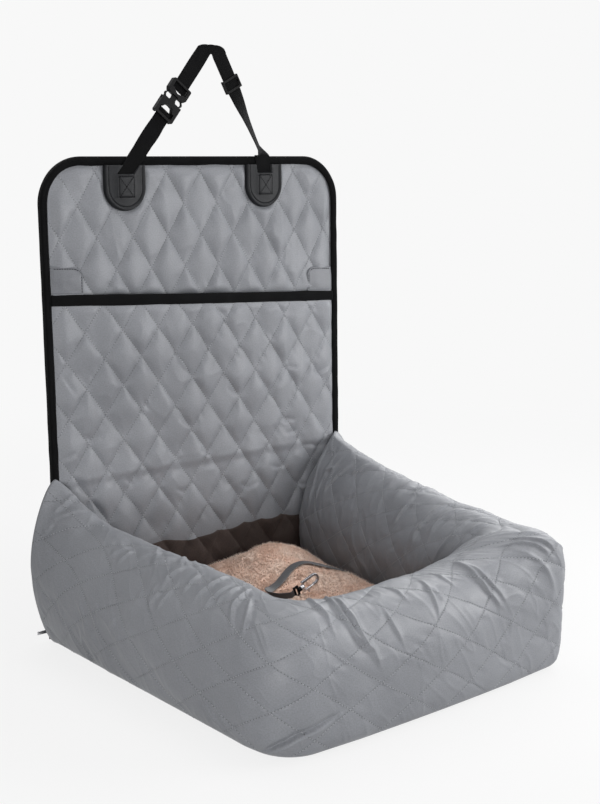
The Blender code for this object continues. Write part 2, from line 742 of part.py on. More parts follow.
def make_pocket():
    half = PANEL_WIDTH / 2 - BINDING_WIDTH - SEAM_GAP
    lattice = np.linspace(-PANEL_WIDTH / 2, PANEL_WIDTH / 2, QUILT_COLUMNS + 1)[1:-1]
    columns = np.concatenate([[-half], lattice, [half]])
    band_share = 1 - (BAND_WIDTH + BINDING_WALL) / (POCKET_MOUTH_RISE - POCKET_RISE_START)
    shares = [*np.linspace(0, band_share, POCKET_ROWS + 1), 1]
    rows, outs, backs = [], [], []
    for j, share in enumerate(shares):
        tall = mouth_rise(columns) - BINDING_WALL - POCKET_RISE_START
        back = QUILT_FRONT + SEAM_GAP + pocket_gape(columns, share)
        out = back + POCKET_THICKNESS
        for i in range(1, len(columns) - 1):
            if 0 < j < len(shares) - 2:
                out[i] += lattice_crown(i, j, POCKET_CROWN)
        rows.append(POCKET_RISE_START + share * tall)
        backs.append(back)
        outs.append(out)
    quilt_sheet("pocket_front", columns, rows, outs, rows, backs)
    rings = []
    for x in columns:
        top = mouth_rise(x)
        back = QUILT_FRONT + SEAM_GAP + pocket_gape(x, 1)
        lower = QUILT_FRONT + SEAM_GAP + pocket_gape(x, band_share)
        inner, outer = back - SEAM_GAP, back + POCKET_THICKNESS + SEAM_GAP
        fold = [
            (top - BINDING_WALL + SEAM_GAP, inner),
            (top, inner),
            (top, outer + BINDING_WALL),
            (top - BAND_WIDTH, lower + POCKET_THICKNESS + SEAM_GAP + BINDING_WALL),
            (top - BAND_WIDTH, lower + POCKET_THICKNESS + SEAM_GAP),
            (top - BINDING_WALL + SEAM_GAP, outer),
        ]
        rises = np.array([r for r, _ in fold])
        out = np.array([n for _, n in fold])
        rings.append(panel_point(np.full(len(fold), x), rises, out))
    add_solid("pocket_band", *closed_tube(rings), BLACK_WEBBING)


def make_corner_patches():
    inner_edge = PANEL_WIDTH / 2 - BINDING_WIDTH - SEAM_GAP
    for side, name in ((-1, "corner_patch_left"), (1, "corner_patch_right")):
        near, far = inner_edge - CORNER_PATCH_WIDTH, inner_edge
        low_near = mouth_rise(side * near) + SEAM_GAP
        low_far = mouth_rise(side * far) + SEAM_GAP
        high_near, high_far = low_near + CORNER_PATCH_RISE, low_far + CORNER_PATCH_RISE
        radius = CORNER_PATCH_RADIUS
        corner = arc((near + radius, high_near - radius), radius, 180, 90, ARC_STEPS)
        outline = [(far, low_far), (far, high_far), *corner[::-1], (near, low_near)]
        outline = [(side * x, rise) for x, rise in outline]
        prism(name, outline, PATCH_BACK, PATCH_BACK + CORNER_PATCH_THICKNESS, panel_point, GREY_SATIN)


def tail_outline(foot, way, middle, low, spare=0.0):
    """Outline of a strap tail from its sewn end up to the panel's edge, widened by a spare all round."""
    half = WEBBING_WIDTH / 2 + spare
    reach = half / way[1]
    bend = PANEL_RISE - PATCH_SLOT_DROP
    top = STRAP_AXIS - WEBBING_THICKNESS / 2 - SEAM_GAP
    return [
        (middle - half, low - spare),
        (middle + half, low - spare),
        (middle + half, bend),
        (foot[0] + reach, top),
        (foot[0] - reach, top),
        (middle - half, bend),
    ]


def make_strap_patches():
    feet, along, *_ = strap_geometry()
    top = PANEL_RISE - BINDING_WIDTH - SEAM_GAP
    radius = PATCH_WIDTH / 2
    low = PANEL_RISE - PATCH_DROP
    slot = PANEL_RISE - PATCH_SLOT_DROP
    tail = PANEL_RISE - PATCH_TAIL_DROP
    front = PATCH_BACK + PATCH_THICKNESS
    thin = WEBBING_THICKNESS / 2
    for side, middle, foot, way in (
        ("left", PATCH_PLACE_LEFT, feet[0], along[0]),
        ("right", PATCH_PLACE_RIGHT, feet[1], along[1]),
    ):
        bowl = arc((middle, low + radius), radius, 180, 360, 2 * ARC_STEPS)
        outline = [(middle - radius, top), *bowl, (middle + radius, top)]
        patch = prism(f"strap_patch_{side}", outline, PATCH_BACK, front, panel_point, DARK_LEATHER)
        notch = tail_outline(foot, way, middle, slot, 2 * SEAM_GAP)
        cutter = prism(f"patch_notch_{side}", notch, 0, front + CUT_OVERRUN, panel_point, DARK_LEATHER)
        combine(patch, cutter, "DIFFERENCE")
        recess = tail_outline(foot, way, middle, tail, SEAM_GAP)
        deep = STRAP_PLANE + thin + SEAM_GAP
        cutter = prism(f"patch_recess_{side}", recess, 0, deep, panel_point, DARK_LEATHER)
        combine(patch, cutter, "DIFFERENCE")
        name, flat = f"strap_tail_{side}", tail_outline(foot, way, middle, tail)
        prism(name, flat, STRAP_PLANE - thin, STRAP_PLANE + thin, panel_point, BLACK_WEBBING)


def strap_geometry():
    """Feet, directions, inner corner and cut top of the strap's inverted V, in the panel's plane."""
    feet = np.array([[STRAP_FOOT_LEFT, STRAP_AXIS], [STRAP_FOOT_RIGHT, STRAP_AXIS]])
    top = STRAP_AXIS + STRAP_RISE
    tops = np.array([[STRAP_APEX_LEFT, top], [STRAP_APEX_RIGHT, top]])
    runs = tops - feet
    lengths = np.linalg.norm(runs, axis=1)
    along = runs / lengths[:, None]
    outward = np.array([[-along[0][1], along[0][0]], [along[1][1], -along[1][0]]])
    half = WEBBING_WIDTH / 2
    inner_left, inner_right = feet[0] - outward[0] * half, feet[1] - outward[1] * half
    solve = np.linalg.solve(np.stack([along[0], -along[1]], 1), inner_right - inner_left)
    corner = inner_left + along[0] * solve[0]
    cut = corner[1] + STRAP_FLAT_TOP
    outer_left, outer_right = feet[0] + outward[0] * half, feet[1] + outward[1] * half
    cut_left = outer_left + along[0] * (cut - outer_left[1]) / along[0][1]
    cut_right = outer_right + along[1] * (cut - outer_right[1]) / along[1][1]
    return feet, along, outward, lengths, corner, cut_left, cut_right


def ribbon(name, stations, look):
    """A flat band: each station is (outer edge, inner edge, thickness direction) in panel coordinates."""
    rings = []
    for outer, inner, normal, half in stations:
        outer, inner, normal = np.array(outer), np.array(inner), np.array(normal)
        lift = normal * half
        corners = np.array([outer + lift, inner + lift, inner - lift, outer - lift])
        rings.append(panel_point(corners[:, 0], corners[:, 1], corners[:, 2]))
    return add_solid(name, *closed_tube(rings), look)


def flat_station(outer, inner, half=WEBBING_THICKNESS / 2):
    return ((*outer, STRAP_PLANE), (*inner, STRAP_PLANE), (0, 0, 1), half)


def level_station(foot, along, rise, half=WEBBING_THICKNESS / 2):
    """Where a slanting run is cut level at a given rise."""
    centre = foot + along * (rise - foot[1]) / along[1]
    reach = WEBBING_WIDTH / 2 / along[1]
    side = math.copysign(1, centre[0])
    return flat_station(centre + [side * reach, 0], centre - [side * reach, 0], half)


def make_strap_webbing():
    feet, along, outward, lengths, corner, cut_left, cut_right = strap_geometry()
    half = WEBBING_WIDTH / 2
    thin = WEBBING_THICKNESS / 2
    buckle = lengths[0] * BUCKLE_PLACE_SHARE
    end_bar = BUCKLE_HALF_LENGTH - BUCKLE_BAR - BUCKLE_SLOT - BUCKLE_BAR
    tip = STRAP_AXIS - thin

    def square_station(distance):
        centre = feet[0] + along[0] * distance
        return flat_station(centre + outward[0] * half, centre - outward[0] * half)

    left = [
        level_station(feet[0], along[0], tip, thin * STRAP_TIP_SHARE),
        level_station(feet[0], along[0], STRAP_AXIS),
        level_station(feet[0], along[0], STRAP_AXIS + half),
        square_station(buckle - BUCKLE_HALF_LENGTH - half),
        square_station(buckle - end_bar),
    ]
    ribbon("strap_webbing_left", left, BLACK_WEBBING)
    step = np.array([SEAM_GAP, 0])
    right = [
        square_station(buckle + end_bar),
        square_station(buckle + BUCKLE_HALF_LENGTH + half),
        flat_station(cut_left, corner - step),
        flat_station(cut_right, corner + step),
    ]
    start = np.linalg.norm(corner - feet[1]) / lengths[1]
    first = 1 - start
    for k in range(RIGHT_RUN_STATIONS + 1):
        share = first + (1 - first) * k / RIGHT_RUN_STATIONS
        if share <= first + STRAP_FLAT_TOP / lengths[1]:
            continue
        centre = feet[1] + along[1] * lengths[1] * (1 - share)
        wind = np.interp(share, STRAP_TWIST_PLACE_SHARES, STRAP_TWIST_SHARES)
        turn = math.radians(STRAP_TWIST_DEG) * (wind * wind * (3 - 2 * wind))
        if k == RIGHT_RUN_STATIONS:
            break
        across = np.array([*(outward[1] * math.cos(turn)), math.sin(turn)])
        normal = np.array([*(-outward[1] * math.sin(turn)), math.cos(turn)])
        middle = np.array([*centre, STRAP_PLANE])
        right.append((middle + across * half, middle - across * half, normal, thin))
    right.append(level_station(feet[1], along[1], STRAP_AXIS))
    right.append(level_station(feet[1], along[1], tip, thin * STRAP_TIP_SHARE))
    ribbon("strap_webbing_right", right, BLACK_WEBBING)


def run_place(run, share):
    """Placing function for a piece on a strap run: across, along the run, and out of the panel."""
    feet, along, outward, lengths, *_ = strap_geometry()
    origin = feet[run] + along[run] * lengths[run] * share
    across = -outward[run] if run == 0 else outward[run]

    def place(w, u, out):
        w, u, out = np.broadcast_arrays(w, u, out)
        flat = origin + w[..., None] * across + u[..., None] * along[run]
        return panel_point(flat[..., 0], flat[..., 1], STRAP_PLANE + out)

    return place


def cut_across(item, profile, half_width, place):
    """Cuts a profile of (along, out) pairs through a piece on the strap, from side to side."""

    def across(along, out, w):
        return place(w, along, out)

    cutter = prism(item.name + "_webbing_way", profile, -half_width, half_width, across, BLACK_NYLON)
    combine(item, cutter, "DIFFERENCE")


def buckle_way(end, past):
    """The webbing's way in a buckle end: behind the end bar, through the slot, before the inner bar."""
    clear = WEBBING_THICKNESS / 2 + SEAM_GAP
    slot_far = BUCKLE_HALF_LENGTH - BUCKLE_BAR
    slot_near = slot_far - BUCKLE_SLOT
    window = slot_near - BUCKLE_BAR * BUCKLE_INNER_BAR_SHARE
    outside = BUCKLE_HALF_LENGTH + CUT_OVERRUN
    profile = [
        (outside, -past),
        (outside, clear),
        (slot_far, clear),
        (slot_far, past),
        (window, past),
        (window, -clear),
        (slot_near, -clear),
        (slot_near, -past),
    ]
    return [(end * along, out) for along, out in profile]


def make_buckle():
    place = run_place(0, BUCKLE_PLACE_SHARE)
    wide, long, deep = BUCKLE_HALF_WIDTH, BUCKLE_HALF_LENGTH, BUCKLE_HALF_DEPTH
    rail = WEBBING_WIDTH / 2 + BUCKLE_RAIL_GAP
    bar_edge = long - 2 * BUCKLE_BAR - BUCKLE_SLOT
    corner = BUCKLE_BAR / 2
    reach = BUCKLE_SOCKET_HALF_DEPTH
    past = deep + CUT_OVERRUN

    def block(name, outline, low, high):
        return prism(name, outline, low, high, place, BLACK_NYLON)

    female_outline = [
        (-wide + corner, -long),
        (wide - corner, -long),
        (wide, -long + corner),
        (wide, BUCKLE_COLLAR_TOP),
        (-wide, BUCKLE_COLLAR_TOP),
        (-wide, -long + corner),
    ]
    female = block("buckle_female", female_outline, -deep, deep)
    cut_across(female, buckle_way(-1, past), rail, place)
    collar_low = BUCKLE_COLLAR_TOP - BUCKLE_COLLAR_HEIGHT
    wide_end = rail * BUCKLE_WINDOW_SHARE
    waist_end = rail * BUCKLE_WINDOW_WAIST_SHARE
    window = [
        (-wide_end, -bar_edge),
        (wide_end, -bar_edge),
        (waist_end, collar_low),
        (0, collar_low + corner / 2),
        (-waist_end, collar_low),
    ]
    combine(female, block("female_window", window, -past, past), "DIFFERENCE")
    low, high = BUCKLE_COLLAR_TOP - BUCKLE_SOCKET_DEPTH, BUCKLE_COLLAR_TOP + CUT_OVERRUN
    grip = BUCKLE_PRONG_HALF_WIDTH + BUCKLE_PRONG_CLEARANCE
    combine(female, block("female_socket", rectangle(-grip, grip, low, high), -reach, reach), "DIFFERENCE")
    arm_in = BUCKLE_ARM_TIP - BUCKLE_ARM_WIDTH - BUCKLE_ARM_SOCKET_SWEEP
    for side in (-1, 1):
        pocket = rectangle(*sorted((side * arm_in, side * (wide + CUT_OVERRUN))), low, high)
        combine(female, block(f"female_arm_socket_{side}", pocket, -reach, reach), "DIFFERENCE")

    shoulder = BUCKLE_SHOULDER_HALF_WIDTH
    male_outline = [
        (-shoulder, BUCKLE_SHOULDER_LOW),
        (shoulder, BUCKLE_SHOULDER_LOW),
        (wide, BUCKLE_SHOULDER_HIGH),
        (wide, long - corner),
        (wide - corner, long),
        (-wide + corner, long),
        (-wide, long - corner),
        (-wide, BUCKLE_SHOULDER_HIGH),
    ]
    male = block("buckle_male", male_outline, -deep, deep)
    cut_across(male, buckle_way(1, past), rail, place)
    side_share, depth_share = BUCKLE_CRESCENT_SHARES
    bow, bow_place = rail * side_share, bar_edge - (bar_edge - BUCKLE_SHOULDER_HIGH) * depth_share
    crescent = [
        (wide_end, bar_edge),
        (bow, bow_place),
        (0, BUCKLE_SHOULDER_HIGH),
        (-bow, bow_place),
        (-wide_end, bar_edge),
    ]
    combine(male, block("male_crescent", crescent, -past, past), "DIFFERENCE")
    prong, waist = BUCKLE_PRONG_HALF_WIDTH, BUCKLE_PRONG_WAIST
    end = low + 2 * BUCKLE_PRONG_CLEARANCE
    collar_face = BUCKLE_COLLAR_TOP + BUCKLE_PRONG_CLEARANCE
    waist_place = (BUCKLE_COLLAR_TOP + BUCKLE_SHOULDER_LOW) / 2
    root = (BUCKLE_SHOULDER_LOW + BUCKLE_SHOULDER_HIGH) / 2
    prong_outline = [(-prong, end), (prong, end), (prong, collar_face), (waist, waist_place), (prong, root)]
    prong_outline += [(-prong, root), (-waist, waist_place), (-prong, collar_face)]
    thin = reach - BUCKLE_PRONG_CLEARANCE
    combine(male, block("male_prong", prong_outline, -thin, thin), "UNION")

    half = BUCKLE_ARM_WIDTH / 2
    centres = [
        (BUCKLE_ARM_ROOT, BUCKLE_SHOULDER_LOW - SEAM_GAP),
        (BUCKLE_ARM_BOW, waist_place + half),
        (BUCKLE_ARM_BOW, waist_place - half),
        (BUCKLE_ARM_TIP - half, BUCKLE_COLLAR_TOP - half),
        (BUCKLE_ARM_TIP - half, end),
    ]
    for side, name in ((-1, "buckle_arm_left"), (1, "buckle_arm_right")):
        outer = [(side * (x + half), y) for x, y in centres]
        inner = [(side * (x - half), y) for x, y in centres]
        block(name, outer + inner[::-1], -thin, thin)
    return [place(side * BUCKLE_ARM_ROOT, BUCKLE_SHOULDER_LOW, 0) for side in (-1, 1)]


def make_strap_slider():
    place = run_place(1, 1 - SLIDER_PLACE_SHARE)
    inner = WEBBING_WIDTH / 2 + 2 * SEAM_GAP
    outer = inner + SLIDER_RAIL
    half = SLIDER_LENGTH / 2
    bar = SLIDER_BAR / 2
    clear = WEBBING_THICKNESS / 2 + SEAM_GAP
    deep = clear + SLIDER_DEPTH
    past, outside = deep + CUT_OVERRUN, half + CUT_OVERRUN
    slider = prism("strap_slider", rectangle(-outer, outer, -half, half), -deep, deep, place, BLACK_NYLON)
    way = [
        (-outside, -past),
        (-outside, clear),
        (-half + SLIDER_BAR, clear),
        (-half + SLIDER_BAR, past),
        (half - SLIDER_BAR, past),
        (half - SLIDER_BAR, clear),
        (outside, clear),
        (outside, -past),
        (bar, -past),
        (bar, -clear),
        (-bar, -clear),
        (-bar, -past),
    ]
    cut_across(slider, way, inner, place)
    return place(0, 0, 0)


def cushion_rings(depth, grid):
    """Top and bottom grids of a crowned cushion with drawn-in sides, depth inside its cover."""
    shares = np.linspace(-1, 1, grid + 1)
    shares = np.sign(shares) * (1 - (1 - np.abs(shares)) ** CUSHION_CROWDING_SHARE)
    u, v = np.meshgrid(shares, shares, indexing="ij")
    floor = BED_FLOOR
    back = CUSHION_BACK_Y - depth
    front = CUSHION_FRONT_Y + depth
    draw = CUSHION_DRAW_IN
    y = (front + back) / 2 + v * ((back - front) / 2 - draw * (1 - u**2))
    front_half = half_width_at(CUSHION_FRONT_Y) - BOLSTER_THICKNESS - CUSHION_FRONT_SIDE_GAP
    back_half = half_width_at(CUSHION_BACK_Y) - BOLSTER_THICKNESS - CUSHION_BACK_SIDE_GAP
    half = front_half + (back_half - front_half) * (v + 1) / 2
    x = u * (half - depth - draw * (1 - v**2))
    fall = (1 - np.abs(u) ** CUSHION_EDGE_POWER) * (1 - np.abs(v) ** CUSHION_EDGE_POWER)
    fall = np.clip(fall, 0, 1)
    to_hump = np.hypot(x - CUSHION_HUMP_X, y - CUSHION_HUMP_Y) / CUSHION_HUMP_RADIUS
    hump = CUSHION_HUMP * np.exp(-(to_hump**2))
    edge = CUSHION_EDGE_HEIGHT / 2
    rise = CUSHION_CROWN_HEIGHT - edge - depth + hump
    top = floor + edge + rise * fall**CUSHION_TOP_POWER_SHARE
    bottom = floor + edge - (edge - depth) * fall ** (CUSHION_TOP_POWER_SHARE * CUSHION_FOOT_POWER_SHARE)
    return x, y, top, bottom


def pillow(name, depth, grid, look):
    x, y, top, bottom = cushion_rings(depth, grid)
    size = grid + 1
    points, index = [], {}
    for i in range(size):
        for j in range(size):
            index["t", i, j] = len(points)
            points.append((x[i, j], y[i, j], top[i, j]))
    for i in range(size):
        for j in range(size):
            if i in (0, grid) or j in (0, grid):
                index["b", i, j] = index["t", i, j]
            else:
                index["b", i, j] = len(points)
                points.append((x[i, j], y[i, j], bottom[i, j]))
    faces = []
    for i in range(grid):
        for j in range(grid):
            a, b, c, d = (i, j), (i + 1, j), (i + 1, j + 1), (i, j + 1)
            to_middle = (i < grid / 2) == (j < grid / 2)
            for cell in ((a, b, c), (a, c, d)) if to_middle else ((a, b, d), (b, c, d)):
                faces.append(tuple(index[("t", *corner)] for corner in cell))
                faces.append(tuple(index[("b", *corner)] for corner in cell[::-1]))
    return add_solid(name, points, faces, look, QUILT_SHARP_DEG)


def make_cushion():
    cover = pillow("cushion_cover", 0, CUSHION_GRID, PINK_PLUSH)
    hollow = pillow("cushion_hollow", CUSHION_COVER_THICKNESS, CUSHION_GRID, WHITE_FIBRE)
    combine(cover, hollow, "DIFFERENCE")
    middle = BED_FLOOR + CUSHION_EDGE_HEIGHT / 2
    wide = (half_width_at(CUSHION_BACK_Y) - BOLSTER_THICKNESS) * CUSHION_SLIT_WIDTH_SHARE
    outline = rectangle(-wide, wide, CUSHION_BACK_Y - CUSHION_SLIT_DEPTH, CUSHION_BACK_Y + CUT_OVERRUN)
    half = CUSHION_SLIT_HEIGHT / 2
    slit = prism("cushion_slit", outline, middle - half, middle + half, world_place, DARK_CLOTH)
    combine(cover, slit, "DIFFERENCE")
    pillow("cushion_fill", CUSHION_COVER_THICKNESS + 2 * SEAM_GAP, CUSHION_GRID, WHITE_FIBRE)


def smooth_route(points, steps):
    """A smooth curve through the route's points (Catmull-Rom), sampled evenly by share."""
    points = np.array(points, float)
    ends = np.vstack([2 * points[0] - points[1], points, 2 * points[-1] - points[-2]])
    shares = np.linspace(0, len(points) - 1, steps)
    found = []
    for s in shares:
        k = min(int(s), len(points) - 2)
        t = s - k
        a, b, c, d = ends[k : k + 4]
        square, cube = 2 * a - 5 * b + 4 * c - d, 3 * b - a - 3 * c + d
        found.append(0.5 * (2 * b + (c - a) * t + square * t**2 + cube * t**3))
    return np.array(found), shares


def make_tether():
    """Webbing from the seam of the base, over the cushion, and round to the eye of the hook."""
    lead, end = hook_place(0, -EYE_LENGTH - SEAM_GAP - np.array([TETHER_LEAD, 0]), 0)
    start = (*TETHER_START, BED_FLOOR)
    route, shares = smooth_route([start, *TETHER_ROUTE, lead, end], TETHER_STEPS)
    side, axis = hook_place(np.array([1, 0]), np.array([0, 1]), 0) - hook_place(0, 0, 0)
    turn = np.interp(shares, range(len(TETHER_TURN_SHARES)), TETHER_TURN_SHARES)
    half_width, half_depth = TETHER_WIDTH / 2, TETHER_THICKNESS / 2
    rings = []
    for k, point in enumerate(route):
        ahead = axis if k == len(route) - 1 else route[k + 1] - route[max(k - 1, 0)]
        ahead = ahead / np.linalg.norm(ahead)
        level = np.cross(ahead, (0, 0, 1)) + ahead[2] ** 2 * np.array([0, 1.0, 0])
        across = (1 - turn[k]) * level + turn[k] * side
        across -= ahead * across.dot(ahead)
        across /= np.linalg.norm(across)
        normal = np.cross(ahead, across)
        wide, thick = across * half_width, normal * half_depth
        rings.append(point + np.array([wide + thick, thick - wide, -wide - thick, wide - thick]))
    add_solid("tether_webbing", *closed_tube(rings), BLACK_WEBBING)


def hook_place(x, along, z):
    """Hook coordinates: sideways in the hook's plane, along its axis, and square to its plane."""
    x, along, z = np.broadcast_arrays(x, along, z)
    tilt = math.radians(HOOK_TILT_DEG)
    axis = np.array([math.cos(tilt), 0, math.sin(tilt)])
    side = np.array([-math.sin(tilt), 0, math.cos(tilt)])
    square = np.array([0, -1.0, 0])
    return np.array(HOOK_PLACE) + x[..., None] * side + along[..., None] * axis + z[..., None] * square


def turned(name, radius, low, high, look):
    """A round pin along the hook's axis."""
    angles = np.linspace(0, 2 * math.pi, 2 * ARC_STEPS, endpoint=False)
    sides, fronts = radius * np.cos(angles), radius * np.sin(angles)
    rings = [hook_place(sides, along, fronts) for along in (low, high)]
    return add_solid(name, *closed_tube(rings), look)


def make_hook():
    wire = EYE_WIRE
    eye = prism(
        "hook_eye",
        rectangle(-EYE_WIDTH / 2, EYE_WIDTH / 2, -EYE_LENGTH, 0),
        -wire / 2,
        wire / 2,
        hook_place,
        BLACK_NYLON,
    )
    gap = rectangle(-EYE_WIDTH / 2 + wire, EYE_WIDTH / 2 - wire, -EYE_LENGTH + wire, -wire)
    combine(eye, prism("eye_gap", gap, -wire, wire, hook_place, BLACK_NYLON), "DIFFERENCE")
    collar = turned("eye_collar", EYE_COLLAR_RADIUS, -wire / 2, EYE_COLLAR_LENGTH, BLACK_NYLON)
    combine(eye, collar, "UNION")

    neck = EYE_COLLAR_LENGTH + SEAM_GAP
    body = turned("hook_body", HOOK_NECK_RADIUS, neck, neck + HOOK_NECK_LENGTH, BRIGHT_ZINC)
    low = neck + HOOK_NECK_LENGTH - HOOK_WIRE / 2
    outer, wide = HOOK_WIDTH / 2, HOOK_WIRE
    top = low + HOOK_LENGTH
    mouth = low + HOOK_LENGTH * HOOK_MOUTH_SHARE
    bow = arc((0, top - outer), outer, 0, 180, 2 * ARC_STEPS)
    inside = arc((0, top - outer), outer - wide, 0, 180, 2 * ARC_STEPS)
    outline = [
        (outer, low),
        *bow,
        (-outer, mouth),
        (-outer + wide, mouth),
        *inside[::-1],
        (outer - wide, low + wide),
        (-outer, low + wide),
        (-outer, low),
    ]
    frame = prism("hook_frame", outline, -wide / 2, wide / 2, hook_place, BRIGHT_ZINC)
    combine(body, frame, "UNION")
    slim = GATE_WIDTH / 2
    foot = low + wide + SEAM_GAP
    centre = -outer + wide / 2
    gate = [
        (centre - slim / 2, foot),
        (centre + slim / 2, foot),
        (centre + slim, foot + slim / 2),
        (centre + slim, mouth - SEAM_GAP),
        (centre - slim, mouth - SEAM_GAP),
        (centre - slim, foot + TRIGGER_LENGTH + slim),
        (centre - slim - TRIGGER_LENGTH, foot + TRIGGER_LENGTH),
        (centre - slim - TRIGGER_LENGTH, foot + TRIGGER_LENGTH - slim),
        (centre - slim, foot + slim),
    ]
    prism("hook_gate", gate, -slim, slim, hook_place, BRIGHT_ZINC)
    return hook_place(0, neck, 0), hook_place(centre, foot + slim, 0)


def make_zipper(wall_foot):
    half = BED_BACK_WIDTH / 2
    back = -CLOTH_BACK - SEAM_GAP - BINDING_WALL - SEAM_GAP
    low = wall_foot + ZIP_TAPE_THICKNESS
    middle = low + ZIP_TAPE_HEIGHT / 2
    tape_back = back - ZIP_TAPE_THICKNESS
    prism(
        "zipper_tape",
        rectangle(-half, half, low, low + ZIP_TAPE_HEIGHT),
        tape_back,
        back,
        panel_point,
        BLACK_WEBBING,
    )
    teeth_back = tape_back - SEAM_GAP - ZIP_TEETH_DEPTH
    teeth_half = ZIP_TEETH_HEIGHT / 2
    prism(
        "zipper_teeth",
        rectangle(-half, half - ZIP_OVERHANG, middle - teeth_half, middle + teeth_half),
        teeth_back,
        tape_back - SEAM_GAP,
        panel_point,
        BLACK_NYLON,
    )
    wall = ZIP_SLIDER_WALL
    left = -half
    right = left + ZIP_SLIDER_LENGTH
    tall = ZIP_SLIDER_HEIGHT / 2
    outer = teeth_back - SEAM_GAP - wall
    slider = prism(
        "zipper_slider",
        rectangle(left, right, middle - tall, middle + tall),
        outer,
        tape_back - SEAM_GAP,
        panel_point,
        BLACK_NYLON,
    )
    way = teeth_half + SEAM_GAP
    outline = rectangle(left - CUT_OVERRUN, right + CUT_OVERRUN, middle - way, middle + way)
    channel = prism("slider_channel", outline, teeth_back - SEAM_GAP, tape_back, panel_point, BLACK_NYLON)
    combine(slider, channel, "DIFFERENCE")
    pin = ZIP_PIN
    eye = ZIP_PULL_WIDTH / 2
    pivot_x = (left + right) / 2
    pivot_out = outer - ZIP_BAIL_REACH
    for side in (-1, 1):
        low_ear, high_ear = sorted((side * (eye + SEAM_GAP), side * (eye + SEAM_GAP + wall)))
        outline = rectangle(pivot_x - pin, pivot_x + pin, middle + low_ear, middle + high_ear)
        reach = (pivot_out - pin / 2, outer + wall / 2)
        ear = prism(f"slider_ear_{side}", outline, *reach, panel_point, BLACK_NYLON)
        combine(slider, ear, "UNION")
    pull_half = ZIP_PULL_THICKNESS / 2
    prism(
        "zipper_pull",
        rectangle(pivot_x - ZIP_PULL_LENGTH, pivot_x + pull_half, middle - eye, middle + eye),
        pivot_out - pull_half,
        pivot_out + pull_half,
        panel_point,
        BRIGHT_ZINC,
    )
    return panel_point(pivot_x, middle, outer), panel_point(pivot_x, middle, pivot_out)


def join_bodies(arm_pivots, slider_middle, swivel_point, gate_pivot, slider_left, pull_pivot):
    """Puts each moving body's pieces under an empty on its joint's axis."""
    panel = ["panel_quilt", "panel_cloth", "panel_binding", "pocket_front", "pocket_band"]
    for side in ("left", "right"):
        panel += [f"corner_patch_{side}", f"strap_patch_{side}", f"strap_tail_{side}"]
    fold = on_axis("panel_fold_axis", panel_point(0, 0, 0), panel)
    swing_pieces = ["strap_webbing_left", "strap_webbing_right", "buckle_female", "buckle_male"]
    swing = on_axis("strap_swing_axis", panel_point(0, STRAP_AXIS, STRAP_PLANE), swing_pieces, fold)
    on_axis("strap_slide_axis", slider_middle, ["strap_slider"], swing)
    on_axis("left_arm_axis", arm_pivots[0], ["buckle_arm_left"], swing)
    on_axis("right_arm_axis", arm_pivots[1], ["buckle_arm_right"], swing)
    swivel = on_axis("hook_swivel_axis", swivel_point, ["hook_body"])
    on_axis("hook_gate_axis", gate_pivot, ["hook_gate"], swivel)
    zipper = on_axis("zipper_slide_axis", slider_left, ["zipper_slider"])
    on_axis("zipper_pull_axis", pull_pivot, ["zipper_pull"], zipper)


make_base()
make_bolster()
wall_foot = make_back_wall()
make_panel()
make_pocket()
make_corner_patches()
make_strap_patches()
make_strap_webbing()
make_cushion()
make_tether()
join_bodies(make_buckle(), make_strap_slider(), *make_hook(), *make_zipper(wall_foot))
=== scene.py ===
import math

import bmesh
import bpy
import numpy as np
from mathutils import Matrix, Vector


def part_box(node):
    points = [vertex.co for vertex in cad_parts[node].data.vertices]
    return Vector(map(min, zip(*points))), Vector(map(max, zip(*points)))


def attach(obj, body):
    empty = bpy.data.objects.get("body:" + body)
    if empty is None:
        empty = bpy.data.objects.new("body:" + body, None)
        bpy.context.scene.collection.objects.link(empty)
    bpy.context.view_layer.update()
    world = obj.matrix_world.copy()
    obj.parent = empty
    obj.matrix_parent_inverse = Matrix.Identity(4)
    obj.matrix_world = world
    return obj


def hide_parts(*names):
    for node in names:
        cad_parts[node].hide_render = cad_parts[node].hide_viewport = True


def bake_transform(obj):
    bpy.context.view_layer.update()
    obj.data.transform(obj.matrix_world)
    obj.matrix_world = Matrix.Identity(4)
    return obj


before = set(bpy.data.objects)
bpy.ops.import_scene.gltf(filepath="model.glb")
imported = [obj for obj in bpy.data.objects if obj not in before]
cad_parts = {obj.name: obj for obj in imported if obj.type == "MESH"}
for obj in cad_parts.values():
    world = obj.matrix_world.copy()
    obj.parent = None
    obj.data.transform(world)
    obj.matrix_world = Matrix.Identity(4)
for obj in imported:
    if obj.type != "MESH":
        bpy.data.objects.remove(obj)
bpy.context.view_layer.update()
print("frame loaded:", len(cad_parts), "nodes")

# sizes of the seat in metres, as the solids have them
bed = {
    "depth": 0.514,
    "frontWidth": 0.498,
    "backWidth": 0.560,
    "baseTop": 0.0033,
    "floor": 0.0126,
}
panel = {
    "width": 0.537,
    "rise": 0.452,
    "leanDeg": 2.9,
    "foldY": 0.257,
    "foldZ": 0.246,
    "cornerRadius": 0.068,
    "front": 0.0030,
    "back": 0.0022,
    "clothBack": 0.0040,
    "foot": -0.2427,
    "inset": 0.0017,
}


def halfWidthAt(y):
    # half width of the tapering bed at a depth y
    share = (y + bed["depth"] / 2) / bed["depth"]
    return (bed["frontWidth"] + (bed["backWidth"] - bed["frontWidth"]) * share) / 2


def panelPoint(x, rise, out):
    # a place on the back panel: across it, up it from the fold, and out of its front face
    x, rise, out = np.broadcast_arrays(x, rise, out)
    lean = math.radians(panel["leanDeg"])
    y = panel["foldY"] + rise * math.sin(lean) - out * math.cos(lean)
    z = panel["foldZ"] + rise * math.cos(lean) + out * math.sin(lean)
    return np.stack([x, y, z], -1)


# one metre straight out of the panel's face
outOfPanel = panelPoint(0, 0, 1) - panelPoint(0, 0, 0)


